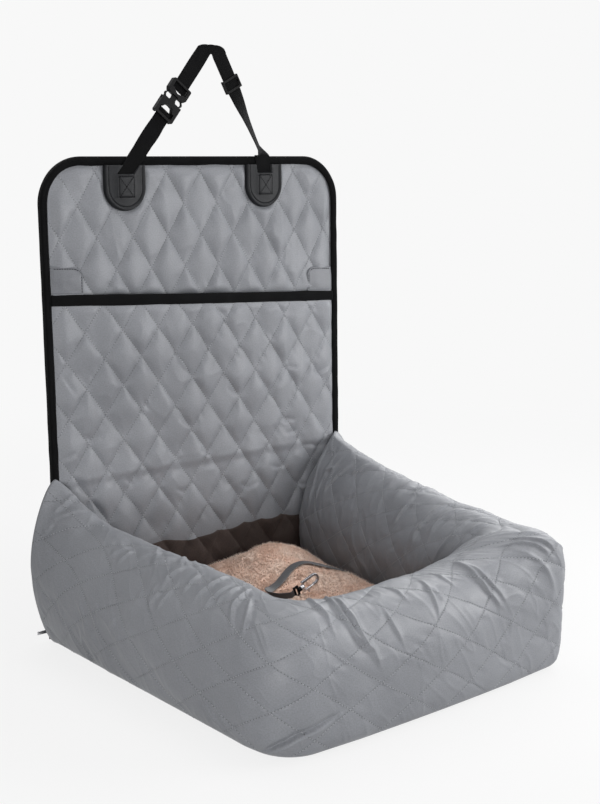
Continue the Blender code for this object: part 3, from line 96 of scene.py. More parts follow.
def lengthsAlong(*line):
    # how far along a line each of its points is; the line is given as rows of points or as x and y
    points = np.stack(line, -1) if len(line) > 1 else line[0]
    return np.concatenate([[0], np.cumsum(np.linalg.norm(np.diff(points, axis=0), axis=1))])


def smoothStep(low, high, value):
    t = np.clip((value - low) / (high - low), 0, 1)
    return t * t * (3 - 2 * t)


def noise(x, y, seed):
    # value noise: a table of random heights, read between its points with a smooth step
    table = np.random.default_rng(seed).uniform(-1, 1, (128, 128))
    xi, yi = np.floor(x).astype(int), np.floor(y).astype(int)
    xs, ys = smoothStep(0, 1, x - xi), smoothStep(0, 1, y - yi)
    low = table[xi % 128, yi % 128] * (1 - xs) + table[(xi + 1) % 128, yi % 128] * xs
    high = table[xi % 128, (yi + 1) % 128] * (1 - xs) + table[(xi + 1) % 128, (yi + 1) % 128] * xs
    return low * (1 - ys) + high * ys


def roughNoise(x, y, seed, octaves=3):
    # octaves of value noise, each half as high and twice as fine
    return sum(noise(x * 2**k, y * 2**k, seed + k) / 2**k for k in range(octaves))


def crumple(x, y, seed, warp=0.6):
    # sharp crests from 0 to 1 where warped noise crosses zero, as creased cloth has
    bentX = x + warp * noise(x * 0.7, y * 0.7, seed + 11)
    bentY = y + warp * noise(x * 0.7 + 31, y * 0.7, seed + 12)
    return np.clip(1 - 2.2 * np.abs(roughNoise(bentX, bentY, seed, 2)), 0, 1) ** 2


def quiltRelief(along, rise, look, seed):
    # a pillow in each diamond: its height falls to nothing at the nearest stitch line,
    # small puckers run square to that line, and no two pillows are quite alike
    f = along / look["cellAlong"] + rise / look["cellRise"]
    g = along / look["cellAlong"] - rise / look["cellRise"]
    spacing = 1 / math.hypot(1 / look["cellAlong"], 1 / look["cellRise"])
    toF, toG = np.abs(f - np.round(f)) * spacing, np.abs(g - np.round(g)) * spacing
    soft = look["softness"]
    puff = (1 - np.exp(-toF / soft)) * (1 - np.exp(-toG / soft))
    plump = 1 + 0.45 * noise(np.floor(f) * 3.0, np.floor(g) * 3.0, seed)
    tilt = noise(np.floor(f) * 3.0, np.floor(g) * 3.0, seed + 1) * (f - np.floor(f) - 0.5)
    tilt = tilt + noise(np.floor(f) * 3.0, np.floor(g) * 3.0, seed + 2) * (g - np.floor(g) - 0.5)
    fine = spacing / look["puckerWidth"]
    puckers = noise(g * fine, np.round(f) * 7.0, seed + 3) * np.exp(-toF / look["puckerReach"])
    puckers = puckers + noise(f * fine, np.round(g) * 7.0, seed + 4) * np.exp(-toG / look["puckerReach"])
    nearLine = np.minimum(toF, toG)
    puckers = puckers * smoothStep(0, 0.002, nearLine)
    return look["crown"] * puff * (plump + look["tilt"] * tilt) + look["pucker"] * puckers


def toLinear(hexColour):
    # sRGB hex to linear: c / 12.92 up to 0.04045, and ((c + 0.055) / 1.055) ^ 2.4 above it
    channels = [int(hexColour[k : k + 2], 16) / 255 for k in (1, 3, 5)]
    return (*[c / 12.92 if c <= 0.04045 else ((c + 0.055) / 1.055) ** 2.4 for c in channels], 1)


def addNode(tree, kind, settings=None, links=None):
    # adds a node, sets its options and its sockets' values, and links its sockets
    node = tree.nodes.new(kind)
    for key, value in (settings or {}).items():
        if isinstance(key, int) or key in node.inputs:
            node.inputs[key].default_value = value
        else:
            setattr(node, key, value)
    for key, source in (links or {}).items():
        tree.links.new(source, node.inputs[key])
    return node


def startMaterial(name, roughness, settings=None):
    material = bpy.data.materials.new(name)
    material.use_nodes = True
    tree = material.node_tree
    shader = tree.nodes["Principled BSDF"]
    shader.inputs["Roughness"].default_value = roughness
    for key, value in (settings or {}).items():
        shader.inputs[key].default_value = value
    return material, tree, shader


def weaveHeight(tree, place, spacing):
    # two sets of waves across each other, one thread spacing apart
    scale = math.pi / 10 / spacing
    wave = {"wave_type": "BANDS", "Scale": scale, "Distortion": 0.6, "Detail": 1.0}
    warp = addNode(tree, "ShaderNodeTexWave", {**wave, "bands_direction": "X"}, {"Vector": place})
    weft = addNode(tree, "ShaderNodeTexWave", {**wave, "bands_direction": "Y"}, {"Vector": place})
    sources = {0: warp.outputs["Fac"], 1: weft.outputs["Fac"]}
    return addNode(tree, "ShaderNodeMath", {"operation": "MULTIPLY"}, sources).outputs[0]


def stitchMarks(tree, place, quilting):
    # distances in metres to the nearest stitch line and to the nearest needle hole, each then
    # turned into a value from 0 there to 1 away from it; both slanting sets of lines are counted first
    # these marks also paint shade: the colour is darkened in the grooves and most at the needle holes, where
    # shadow falls in them
    parts = addNode(tree, "ShaderNodeSeparateXYZ", {}, {"Vector": place})
    across, up = 1 / quilting["cellAlong"], 1 / quilting["cellRise"]
    spacing = 1 / math.hypot(across, up)
    diagonal = math.hypot(quilting["cellAlong"], quilting["cellRise"]) / 2
    pitch = (stitching["length"] + stitching["gap"]) / diagonal
    counts = []
    for way in (1, -1):
        start = -quilting["startAlong"] * across - way * quilting["startRise"] * up
        settings = {"operation": "MULTIPLY_ADD", 1: across, 2: start}
        first = addNode(tree, "ShaderNodeMath", settings, {0: parts.outputs["X"]})
        settings = {"operation": "MULTIPLY_ADD", 1: way * up}
        both = addNode(tree, "ShaderNodeMath", settings, {0: parts.outputs["Y"], 2: first.outputs[0]})
        counts.append(both.outputs[0])
    lines, holes = [], []
    for line, other in (counts, counts[::-1]):
        off = addNode(tree, "ShaderNodeMath", {"operation": "PINGPONG", 1: 0.5}, {0: line})
        metres = addNode(tree, "ShaderNodeMath", {"operation": "MULTIPLY", 1: spacing}, {0: off.outputs[0]})
        lines.append(metres.outputs[0])
        shift = stitching["gap"] / 2 / diagonal / pitch
        settings = {"operation": "MULTIPLY_ADD", 1: 1 / pitch, 2: shift}
        step = addNode(tree, "ShaderNodeMath", settings, {0: other})
        off = addNode(tree, "ShaderNodeMath", {"operation": "PINGPONG", 1: 0.5}, {0: step.outputs[0]})
        settings = {"operation": "MULTIPLY", 1: pitch * diagonal}
        along = addNode(tree, "ShaderNodeMath", settings, {0: off.outputs[0]})
        both = addNode(tree, "ShaderNodeCombineXYZ", {}, {0: metres.outputs[0], 1: along.outputs[0]})
        reach = addNode(tree, "ShaderNodeVectorMath", {"operation": "LENGTH"}, {0: both.outputs[0]})
        holes.append(reach.outputs["Value"])
    marks = []
    for pair, width in ((lines, quilting["groove"]), (holes, stitching["hole"])):
        nearest = addNode(tree, "ShaderNodeMath", {"operation": "MINIMUM"}, {0: pair[0], 1: pair[1]})
        settings = {"interpolation_type": "SMOOTHSTEP", "From Max": width}
        mark = addNode(tree, "ShaderNodeMapRange", settings, {"Value": nearest.outputs[0]})
        marks.append(mark.outputs["Result"])
    return marks


def clothMaterial(name, look):
    # woven cloth: thread bump on the piece's own map, cloudy colour, and glints from uneven threads
    look = {**plainCloth, **look}
    settings = {
        "Sheen Weight": look["sheen"],
        "Sheen Roughness": look["sheenRoughness"],
        "Specular IOR Level": look["specular"],
        "IOR": 1.5,
    }
    material, tree, shader = startMaterial(name, look["roughness"], settings)
    shader.inputs["Sheen Tint"].default_value = toLinear(look["sheenColour"])
    cloth = addNode(tree, "ShaderNodeUVMap", {"uv_map": "cloth"}).outputs["UV"]
    space = addNode(tree, "ShaderNodeTexCoord").outputs["Object"]
    large, small = {"Scale": look["cloudScale"], "Detail": 4.0}, {"Scale": 1 / look["grain"], "Detail": 2.0}
    cloud = addNode(tree, "ShaderNodeTexNoise", large, {"Vector": space})
    grain = addNode(tree, "ShaderNodeTexNoise", small, {"Vector": cloth})
    middle = {"From Min": 0.3, "From Max": 0.7}
    spread = addNode(tree, "ShaderNodeMapRange", middle, {"Value": grain.outputs["Fac"]})
    ramp = addNode(tree, "ShaderNodeValToRGB", {}, {"Fac": cloud.outputs["Fac"]})
    ramp.color_ramp.elements[0].position, ramp.color_ramp.elements[1].position = 0.3, 0.7
    ramp.color_ramp.elements[0].color = toLinear(look["dark"])
    ramp.color_ramp.elements[1].color = toLinear(look["light"])
    darken = {"data_type": "RGBA", "blend_type": "MULTIPLY", "Factor": look["grainStrength"]}
    sources = {6: ramp.outputs["Color"], 7: spread.outputs["Result"]}
    colour, under = addNode(tree, "ShaderNodeMix", darken, sources).outputs[2], None
    if "quilting" in look:
        groove, hole = stitchMarks(tree, cloth, look["quilting"])
        # painted shade: the colour is darkened along each stitch line's groove and at each needle hole, where
        # shadow falls in them
        for mark, darkest in ((groove, look["quilting"]["shade"]), (hole, look["quilting"]["holeShade"])):
            shade = addNode(tree, "ShaderNodeMapRange", {"To Min": darkest}, {"Value": mark})
            sources = {6: colour, 7: shade.outputs["Result"]}
            colour = addNode(tree, "ShaderNodeMix", {**darken, "Factor": 1.0}, sources).outputs[2]
        under = addNode(tree, "ShaderNodeBump", {"Strength": 0.6, "Distance": 0.0006}, {"Height": groove})
    tree.links.new(colour, shader.inputs["Base Color"])
    rough, around = look["roughness"], look["roughnessSpread"]
    limits = {"To Min": rough - around, "To Max": rough + around}
    uneven = addNode(tree, "ShaderNodeMapRange", limits, {"Value": spread.outputs["Result"]})
    tree.links.new(uneven.outputs["Result"], shader.inputs["Roughness"])
    relief = {"Strength": look["threadBump"], "Distance": look["thread"] * 0.25}
    weave = weaveHeight(tree, cloth, look["thread"])
    threadBump = addNode(tree, "ShaderNodeBump", relief, {"Height": weave})
    if under:
        tree.links.new(under.outputs["Normal"], threadBump.inputs["Normal"])
    relief = {"Strength": look["grainBump"], "Distance": look["grain"] * 0.3}
    sources = {"Height": grain.outputs["Fac"], "Normal": threadBump.outputs["Normal"]}
    grainBump = addNode(tree, "ShaderNodeBump", relief, sources)
    tree.links.new(grainBump.outputs["Normal"], shader.inputs["Normal"])
    return material


# what most of the cloths below share; each of them states only what it has otherwise
plainCloth = {
    "roughness": 0.9,
    "roughnessSpread": 0.05,
    "specular": 0.2,
    "sheen": 0.2,
    "sheenRoughness": 0.4,
    "cloudScale": 30.0,
    "grain": 0.003,
    "grainStrength": 0.2,
    "thread": 0.003,
    "threadBump": 0.3,
    "grainBump": 0.2,
}
# polyester satin with a silver-grey face: smooth float threads give a broad soft sheen with fine glints;
# the threads are 0.3 mm apart on the real cloth, and are drawn at 1.1 mm so that they show
satinLook = {
    "dark": "#84868b",
    "light": "#8f9196",
    "roughness": 0.46,
    "roughnessSpread": 0.10,
    "specular": 0.36,
    "sheen": 0.12,
    "sheenRoughness": 0.35,
    "sheenColour": "#e6e9f0",
    "cloudScale": 9.0,
    "grain": 0.0019,
    "thread": 0.0011,
    "threadBump": 0.2,
    "grainBump": 0.35,
}
# the same satin over a stiffener in the two corner patches, unpadded; its colour is painted darker than the
# quilt's, as painted shade
shadedPatchSatin = clothMaterial("cornerPatchShadedSatin", {**satinLook, "dark": "#6d6f74", "light": "#7d7f84"})
# black polyester webbing: matt, with ribs 1.3 mm apart that catch a little light
webbing = clothMaterial(
    "blackPolyesterWebbing",
    {
        "dark": "#0a0a0b",
        "light": "#111112",
        "roughness": 0.8,
        "roughnessSpread": 0.08,
        "specular": 0.06,
        "sheen": 0.04,
        "sheenRoughness": 0.5,
        "sheenColour": "#8a8d92",
        "grain": 0.0012,
        "grainStrength": 0.25,
        "thread": 0.0013,
        "threadBump": 0.9,
    },
)
# smooth charcoal polyester tape of the tether: shinier than the webbing, so that its flat side shows grey
tetherTape = clothMaterial(
    "charcoalPolyesterTape",
    {
        "dark": "#2a2a2c",
        "light": "#39393c",
        "roughness": 0.4,
        "roughnessSpread": 0.06,
        "specular": 0.6,
        "sheenColour": "#c2c5ca",
        "grain": 0.0011,
        "thread": 0.0012,
        "threadBump": 0.4,
    },
)
# black nonwoven polypropylene backing: dull, with a coarse dimple
backing = clothMaterial(
    "blackNonwovenBacking",
    {
        "dark": "#161617",
        "light": "#222224",
        "roughness": 0.85,
        "specular": 0.25,
        "sheen": 0.1,
        "sheenRoughness": 0.6,
        "sheenColour": "#777a80",
        "cloudScale": 12.0,
        "grain": 0.0024,
        "grainStrength": 0.3,
        "thread": 0.0028,
        "threadBump": 0.7,
        "grainBump": 0.4,
    },
)
# painted shade: brown-black cloth for the dark sheet at the foot of the back, which stands in for the shadow
# there; its tone is cloudy at random
paintedShadeCloth = clothMaterial(
    "paintedShadeBrownCloth",
    {
        "dark": "#382f2c",
        "light": "#564a46",
        "sheen": 0.25,
        "sheenRoughness": 0.6,
        "sheenColour": "#9a908c",
        "cloudScale": 16.0,
        "grain": 0.0022,
        "grainStrength": 0.3,
        "thread": 0.0014,
        "grainBump": 0.5,
    },
)
# polyester staple batting behind the pad: pale and dull
batting = clothMaterial(
    "polyesterBatting",
    {
        "dark": "#c9c8c4",
        "light": "#dedcd8",
        "roughness": 0.95,
        "roughnessSpread": 0.03,
        "sheenRoughness": 0.6,
        "sheenColour": "#ffffff",
        "cloudScale": 20.0,
        "threadBump": 0.2,
        "grainBump": 0.6,
    },
)
# long-pile polyester plush, salmon pink: each tuft is geometry, on a ground of the same cloth
plush = clothMaterial(
    "salmonPolyesterPlush",
    {
        "dark": "#f4ceb8",
        "light": "#fde7d8",
        "sheen": 0.6,
        "sheenColour": "#f6e2d8",
        "cloudScale": 26.0,
        "grainStrength": 0.25,
        "threadBump": 0.1,
        "grainBump": 0.6,
    },
)
# bonded polyester thread: round, with a slight gloss
greyThread = clothMaterial(
    "greyPolyesterThread",
    {
        "dark": "#a0a2a7",
        "light": "#b6b8bd",
        "roughness": 0.5,
        "specular": 0.5,
        "sheen": 0.1,
        "sheenColour": "#c8ccd2",
        "cloudScale": 40.0,
        "grain": 0.001,
        "thread": 0.001,
    },
)


def leatherMaterial():
    # polyurethane leather: a pebbled grain about 1 mm across, pressed into a soft semi-matt skin
    skin = {"Specular IOR Level": 0.17}
    material, tree, shader = startMaterial("darkGreyPolyurethaneLeather", 0.42, skin)
    space = addNode(tree, "ShaderNodeTexCoord").outputs["Object"]
    cells = {"feature": "DISTANCE_TO_EDGE", "Scale": 900.0, "Randomness": 1.0}
    pebble = addNode(tree, "ShaderNodeTexVoronoi", cells, {"Vector": space})
    cloud = addNode(tree, "ShaderNodeTexNoise", {"Scale": 60.0, "Detail": 3.0}, {"Vector": space})
    ramp = addNode(tree, "ShaderNodeValToRGB", {}, {"Fac": cloud.outputs["Fac"]})
    ramp.color_ramp.elements[0].color = toLinear("#17181a")
    ramp.color_ramp.elements[1].color = toLinear("#242528")
    tree.links.new(ramp.outputs["Color"], shader.inputs["Base Color"])
    crease = addNode(tree, "ShaderNodeMapRange", {"From Max": 0.25}, {"Value": pebble.outputs["Distance"]})
    relief = {"Strength": 0.35, "Distance": 0.0002}
    bump = addNode(tree, "ShaderNodeBump", relief, {"Height": crease.outputs["Result"]})
    tree.links.new(bump.outputs["Normal"], shader.inputs["Normal"])
    return material


def mottledMaterial(name, look):
    # moulded and cast parts: one fine noise gives the cloudy colour, the uneven gloss and the relief
    material, tree, shader = startMaterial(name, look["roughness"], look["shader"])
    space = addNode(tree, "ShaderNodeTexCoord").outputs["Object"]
    cloud = {"Scale": look["scale"], "Detail": look["detail"]}
    mottle = addNode(tree, "ShaderNodeTexNoise", cloud, {"Vector": space}).outputs["Fac"]
    ramp = addNode(tree, "ShaderNodeValToRGB", {}, {"Fac": mottle})
    ramp.color_ramp.elements[0].color = toLinear(look["dark"])
    ramp.color_ramp.elements[1].color = toLinear(look["light"])
    tree.links.new(ramp.outputs["Color"], shader.inputs["Base Color"])
    limits = {"To Min": look["smoothest"], "To Max": look["roughest"]}
    uneven = addNode(tree, "ShaderNodeMapRange", limits, {"Value": mottle})
    tree.links.new(uneven.outputs["Result"], shader.inputs["Roughness"])
    if look["bump"]:
        relief = {"Strength": look["bump"], "Distance": 0.0002}
        bump = addNode(tree, "ShaderNodeBump", relief, {"Height": mottle})
        tree.links.new(bump.outputs["Normal"], shader.inputs["Normal"])
    return material


# injection-moulded black nylon: semi-matt, with a faint flow mottle and rubbed spots
nylon = mottledMaterial(
    "mouldedBlackNylon",
    {
        "dark": "#0a0a0b",
        "light": "#131314",
        "roughness": 0.5,
        "smoothest": 0.44,
        "roughest": 0.58,
        "scale": 420.0,
        "detail": 3.0,
        "bump": 0.05,
        "shader": {"Specular IOR Level": 0.1},
    },
)
# nickel-plated zinc casting: bright, with tumbling marks that spread the highlight
zinc = mottledMaterial(
    "nickelPlatedZinc",
    {
        "dark": "#b4b4b8",
        "light": "#dcdcdf",
        "roughness": 0.24,
        "smoothest": 0.16,
        "roughest": 0.36,
        "scale": 700.0,
        "detail": 4.0,
        "bump": 0,
        "shader": {"Metallic": 1.0},
    },
)
# thread: how long a stitch shows, the gap to the next at the needle hole, and the thread's thickness
stitching = {"length": 0.0031, "gap": 0.0011, "radius": 0.00042, "hole": 0.0010}
# the quilted cloth of the panel: narrow diamonds above the pocket, shorter ones below
upperQuilting = {
    "cellAlong": 0.060,
    "cellRise": 0.093,
    "startAlong": -0.0003,
    "startRise": 0.337,
    "groove": 0.0012,
    # painted shade in the stitch grooves and at the needle holes: how dark the colour is painted there
    "shade": 0.93,
    "holeShade": 0.40,
    "crown": 0.0054,
    "tilt": 1.5,
    "softness": 0.0078,
    "pucker": 0.0011,
    "puckerWidth": 0.0065,
    "puckerReach": 0.0060,
}
lowerQuilting = {
    **upperQuilting,
    "cellAlong": 0.0597,
    "cellRise": 0.0815,
    "startAlong": 0.0,
    "startRise": 0.0,
    "crown": 0.0056,
}
bolsterQuilting = {
    "cellAlong": 0.0965,
    "cellRise": 0.0616,
    "startAlong": -0.7320,
    "startRise": 0.0916,
    "groove": 0.0010,
    # painted shade in the stitch grooves and at the needle holes: how dark the colour is painted there
    "shade": 0.93,
    "holeShade": 0.38,
    "crown": 0.0020,
    "tilt": 0.8,
    "softness": 0.0110,
    "pucker": 0.0010,
    "puckerWidth": 0.0085,
    "puckerReach": 0.0080,
}
upperSatin = clothMaterial("upperQuiltSatin", {**satinLook, "quilting": upperQuilting})
lowerSatin = clothMaterial("lowerQuiltSatin", {**satinLook, "quilting": lowerQuilting})
bolsterSatin = clothMaterial("bolsterQuiltSatin", {**satinLook, "quilting": bolsterQuilting})
leather = leatherMaterial()
print("materials made")


def addPiece(name, points, faces, cornerUv, material, body, replaced=()):
    # a closed mesh with its faces turned outwards, and its own cloth map in metres
    points = np.asarray(points, float).reshape(-1, 3)
    corners = [points[faces[:, k]] for k in range(faces.shape[1])]
    volume = sum(np.sum(corners[0] * np.cross(b, c)) for b, c in zip(corners[1:], corners[2:]))
    if volume < 0:
        faces, cornerUv = faces[:, ::-1], cornerUv[:, ::-1]
    mesh = bpy.data.meshes.new(name)
    mesh.from_pydata(points, [], faces)
    uv = mesh.uv_layers.new(name="cloth")
    uv.data.foreach_set("uv", np.ascontiguousarray(cornerUv, np.float32).ravel())
    mesh.shade_smooth()
    mesh.materials.append(material)
    piece = bpy.data.objects.new(name, mesh)
    bpy.context.scene.collection.objects.link(piece)
    if body:
        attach(piece, body)
    if replaced:
        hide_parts(*replaced)
    return piece


def tubeQuads(rows, sides):
    # quads of a tube of rows rings, with a strip of quads closing each end
    index = np.arange(rows * sides).reshape(rows, sides)
    index = np.concatenate([index, index[:, :1]], 1)
    walls = np.stack([index[:-1, :-1], index[1:, :-1], index[1:, 1:], index[:-1, 1:]], -1).reshape(-1, 4)
    j = np.arange(sides // 2 - 1)
    start = np.stack([j, j + 1, sides - 2 - j, sides - 1 - j], -1)
    end = (rows - 1) * sides + start[:, ::-1]
    return np.concatenate([walls, start, end])


def tubeUv(rings, along, around):
    # the cloth map at each quad's corners: metres along the tube and around it
    rows, sides = rings.shape[:2]
    along = along if np.ndim(along) == 2 else along[:, None]
    uv = np.stack([np.broadcast_to(k, (rows, sides + 1)) for k in (along, around)], -1)
    walls = np.stack([uv[:-1, :-1], uv[1:, :-1], uv[1:, 1:], uv[:-1, 1:]], 2).reshape(-1, 4, 2)
    j = np.arange(sides // 2 - 1)
    corners = (j, j + 1, sides - 2 - j, sides - 1 - j)
    first, last = (np.stack([end[k] for k in corners], 1) for end in (uv[0], uv[-1]))
    return np.concatenate([walls, first, last[:, ::-1]])


def addTube(name, rings, along, around, material, body, replaced=()):
    quads, uv = tubeQuads(*rings.shape[:2]), tubeUv(rings, along, around)
    return addPiece(name, rings, quads, uv, material, body, replaced)


def addSlab(name, front, back, along, across, material, body, slot, replaced=()):
    # a thin piece between a front and a back grid of points, closed all round its rim
    rings = np.concatenate([front, back[:, ::-1]], 1)
    wide, tall = (np.concatenate([k, k[:, ::-1], k[:, :1]], 1) for k in (across, along))
    return addTube(name, rings, wide, tall, material, body, replaced)


def addBand(name, centres, across, normals, width, thickness, material, body, slot, replaced=()):
    # webbing: a flat section with round edges, carried along a line of centres
    angles = np.linspace(0, 2 * math.pi, 24, endpoint=False)
    c, s = np.cos(angles), np.sin(angles)
    wide = np.sign(c) * np.abs(c) ** 0.35
    deep = np.sign(s) * np.abs(s) ** 0.6
    width, thickness = np.broadcast_to(width, len(centres)), np.broadcast_to(thickness, len(centres))
    rings = (
        centres[:, None]
        + across[:, None] * wide[None, :, None] * width[:, None, None] / 2
        + normals[:, None] * deep[None, :, None] * thickness[:, None, None] / 2
    )
    around = np.append(wide, wide[0]) * float(np.mean(width)) / 2
    return addTube(name, rings, lengthsAlong(centres), around, material, body, replaced)


def addStitches(name, starts, ends, normals, radius, material, body, slot):
    # thread: each stitch is a small spindle between two needle holes, pressed into the cloth at its ends
    ahead = ends - starts
    length = np.linalg.norm(ahead, axis=1, keepdims=True)
    ahead = ahead / length
    side = np.cross(normals, ahead)
    side = side / np.linalg.norm(side, axis=1, keepdims=True)
    lift = np.cross(ahead, side)
    rings = []
    for share, size, rise in ((0, 0.35, -0.6), (0.28, 1, 0.1), (0.72, 1, 0.1), (1, 0.35, -0.6)):
        centre = starts + ahead * length * share + lift * radius * rise
        thick = radius * size
        ring = [centre + (side * c + lift * s) * thick for c, s in ((1, 0), (0, 1), (-1, 0), (0, -1))]
        rings.append(np.stack(ring, 1))
    rings = np.stack(rings, 1)
    count = len(starts)
    quads = np.concatenate([tubeQuads(4, 4) + 16 * k for k in range(count)])
    uv = np.zeros((len(quads), 4, 2))
    uv[:, :, 0] = np.repeat(np.arange(count) * 0.003, len(quads) // count)[:, None]
    return addPiece(name, rings, quads, uv, material, body)


def solidCopy(name, node, body, material, bevel, replaced=None):
    # a copy of a solid with its coplanar faces joined and its edges rounded
    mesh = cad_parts[node].data.copy()
    mesh.name = name
    work = bmesh.new()
    work.from_mesh(mesh)
    bmesh.ops.remove_doubles(work, verts=work.verts, dist=0.00001)
    bmesh.ops.dissolve_limit(
        work,
        angle_limit=math.radians(2),
        use_dissolve_boundaries=False,
        verts=work.verts,
        edges=work.edges,
    )
    bmesh.ops.recalc_face_normals(work, faces=work.faces)
    work.to_mesh(mesh)
    work.free()
    for layer in list(mesh.uv_layers):
        mesh.uv_layers.remove(layer)
    uv = mesh.uv_layers.new(name="cloth")
    corner = np.array([mesh.vertices[loop.vertex_index].co for loop in mesh.loops], np.float32)
    flat = np.stack([corner[:, 0], corner[:, 2] + corner[:, 1]], 1)
    uv.data.foreach_set("uv", np.ascontiguousarray(flat).ravel())
    mesh.materials.clear()
    mesh.materials.append(material)
    mesh.shade_smooth()
    mesh.set_sharp_from_angle(angle=math.radians(35))
    piece = bpy.data.objects.new(name, mesh)
    bpy.context.scene.collection.objects.link(piece)
    if bevel:
        edge = piece.modifiers.new("roundedEdges", "BEVEL")
        edge.width = bevel
        edge.segments = 2
        edge.limit_method = "ANGLE"
        edge.angle_limit = math.radians(30)
        edge.use_clamp_overlap = True
    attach(piece, body)
    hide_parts(*(replaced or [node]))
    return piece


# the photograph's view: a long lens at the seat's left front, looking slightly down
cameraLook = {
    "place": (-1.1396, -1.3765, 0.748),
    "yaw": 0.6824,
    "pitchDown": 0.2086,
    "roll": 0.0188,
    "lens": 58.87,
    "sensor": 36.0,
}


def addCamera():
    c = cameraLook
    yaw, pitch, roll = c["yaw"], c["pitchDown"], c["roll"]
    ahead = Vector((math.sin(yaw) * math.cos(pitch), math.cos(yaw) * math.cos(pitch), -math.sin(pitch)))
    level = Vector((math.cos(yaw), -math.sin(yaw), 0))
    up = level.cross(ahead)
    right = level * math.cos(roll) + up * math.sin(roll)
    top = up * math.cos(roll) - level * math.sin(roll)
    data = bpy.data.cameras.new("photoCamera")
    data.sensor_fit = "AUTO"
    data.sensor_width = c["sensor"]
    data.lens = c["lens"]
    camera = bpy.data.objects.new("photoCamera", data)
    bpy.context.scene.collection.objects.link(camera)
    turned = Matrix((right, top, -ahead)).transposed().to_4x4()
    camera.matrix_world = Matrix.Translation(c["place"]) @ turned
    bpy.context.scene.camera = camera


addCamera()

# the hook's own frame: its place, and its axis tilted up from the level
hook = {"tiltDeg": 22.0, "place": (-0.0400, -0.0290, 0.1120), "eyeLength": 0.0085, "gap": 0.0003}
# the tether's route over the cushion, from the floor seam to the hook's eye, with how far it turns on edge
tether = {
    "width": 0.0120,
    "thickness": 0.0012,
    "steps": 260,
    "lead": 0.0070,
    "start": (0.1475, 0.0340, 0.0126),
    "route": (
        (0.1470, 0.0340, 0.0360),
        (0.1440, 0.0340, 0.0560),
        (0.1330, 0.0330, 0.0715),
        (0.1180, 0.0315, 0.0815),
        (0.0970, 0.0295, 0.0945),
        (0.0740, 0.0315, 0.1040),
        (0.0560, 0.0400, 0.1100),
        (0.0384, 0.0490, 0.1152),
        (0.0199, 0.0485, 0.1168),
        (0.0000, 0.0415, 0.1146),
        (-0.0190, 0.0310, 0.1106),
        (-0.0375, 0.0200, 0.1080),
        (-0.0550, 0.0110, 0.1070),
        (-0.0695, 0.0035, 0.1070),
        (-0.0755, -0.0095, 0.1070),
        (-0.0690, -0.0235, 0.1066),
    ),
    "turn": (0, 0, 0, 0, 0, 0, 0, 0, 0, 0, 0, 0, 0, 0.15, 0.5, 0.85, 1, 1, 1),
}


def smoothRoute(points, steps):
    # smooth cubic curve through the points, sampled evenly by share
    points = np.array(points, float)
    ends = np.vstack([2 * points[0] - points[1], points, 2 * points[-1] - points[-2]])
    shares = np.linspace(0, len(points) - 1, steps)
    k = np.minimum(shares.astype(int), len(points) - 2)
    t = (shares - k)[:, None]
    a, b, c, d = (ends[k + n] for n in range(4))
    curve = 2 * b + (c - a) * t + (2 * a - 5 * b + 4 * c - d) * t**2 + (3 * b - a - 3 * c + d) * t**3
    return curve / 2, shares


def hookPlace(side, along):
    tilt = math.radians(hook["tiltDeg"])
    axis = np.array([math.cos(tilt), 0, math.sin(tilt)])
    square = np.array([-math.sin(tilt), 0, math.cos(tilt)])
    return np.array(hook["place"]) + side * square + along * axis


def addTether():
    t = tether
    reach = hook["eyeLength"] + hook["gap"]
    points = [t["start"], *t["route"], hookPlace(0, -reach - t["lead"]), hookPlace(0, -reach)]
    route, shares = smoothRoute(points, t["steps"])
    ahead = np.gradient(route, axis=0)
    ahead[-1] = hookPlace(0, 1) - hookPlace(0, 0)
    ahead = ahead / np.linalg.norm(ahead, axis=1, keepdims=True)
    turn = np.interp(shares, range(len(t["turn"])), t["turn"])[:, None]
    level = np.cross(ahead, (0, 0, 1.0)) + ahead[:, 2:] ** 2 * np.array([0, 1.0, 0])
    across = (1 - turn) * level + turn * (hookPlace(1, 0) - hookPlace(0, 0))
    across = across - ahead * np.sum(across * ahead, 1, keepdims=True)
    across = across / np.linalg.norm(across, axis=1, keepdims=True)
    shape = (route, across, np.cross(ahead, across), t["width"], t["thickness"])
    band = addBand("tetherWebbing", *shape, tetherTape, "bed", "black_webbing", ["tether_webbing"])
    eye = solidCopy("hookEye", "hook_eye", "bed", nylon, 0.0006)
    body = solidCopy("hookBody", "hook_body", "hook", zinc, 0.0009)
    gate = solidCopy("hookGate", "hook_gate", "gate", zinc, 0.0005)
    return route


tetherRoute = addTether()


def stitchParameters(look, alongRange, riseRange):
    # start and end of each stitch on both sets of slanting lines, in metres of cloth
    half = (look["cellAlong"] / 2, look["cellRise"] / 2)
    spacing = math.hypot(*half)
    pitch = (stitching["length"] + stitching["gap"]) / spacing
    share = stitching["length"] / spacing
    reach = int(abs(np.subtract(*alongRange)) / half[0] + abs(np.subtract(*riseRange)) / half[1]) + 4
    found = []
    middle = (np.mean(alongRange) - look["startAlong"]) / half[0] / 2
    middleRise = (np.mean(riseRange) - look["startRise"]) / half[1] / 2
    for way in (1, -1):
        line = np.arange(-reach, reach + 1) + round(middle + way * middleRise)
        first = round((middle - way * middleRise - reach) / pitch)
        steps = np.arange(first, first + int(2 * reach / pitch)) * pitch
        f, g = np.meshgrid(line, steps, indexing="ij")
        for end in (0, share):
            along = half[0] * (f + g + end) + look["startAlong"]
            rise = way * half[1] * (f - g - end) + look["startRise"]
            found.append((along.ravel(), rise.ravel()))
    starts = np.concatenate([np.stack(found[0], 1), np.stack(found[2], 1)])
    ends = np.concatenate([np.stack(found[1], 1), np.stack(found[3], 1)])
    both = np.concatenate([starts, ends], 1)
    inside = (both[:, 0] > alongRange[0]) & (both[:, 0] < alongRange[1])
    inside &= (both[:, 2] > alongRange[0]) & (both[:, 2] < alongRange[1])
    inside &= (both[:, 1] > riseRange[0]) & (both[:, 1] < riseRange[1])
    inside &= (both[:, 3] > riseRange[0]) & (both[:, 3] < riseRange[1])
    return starts[inside], ends[inside]


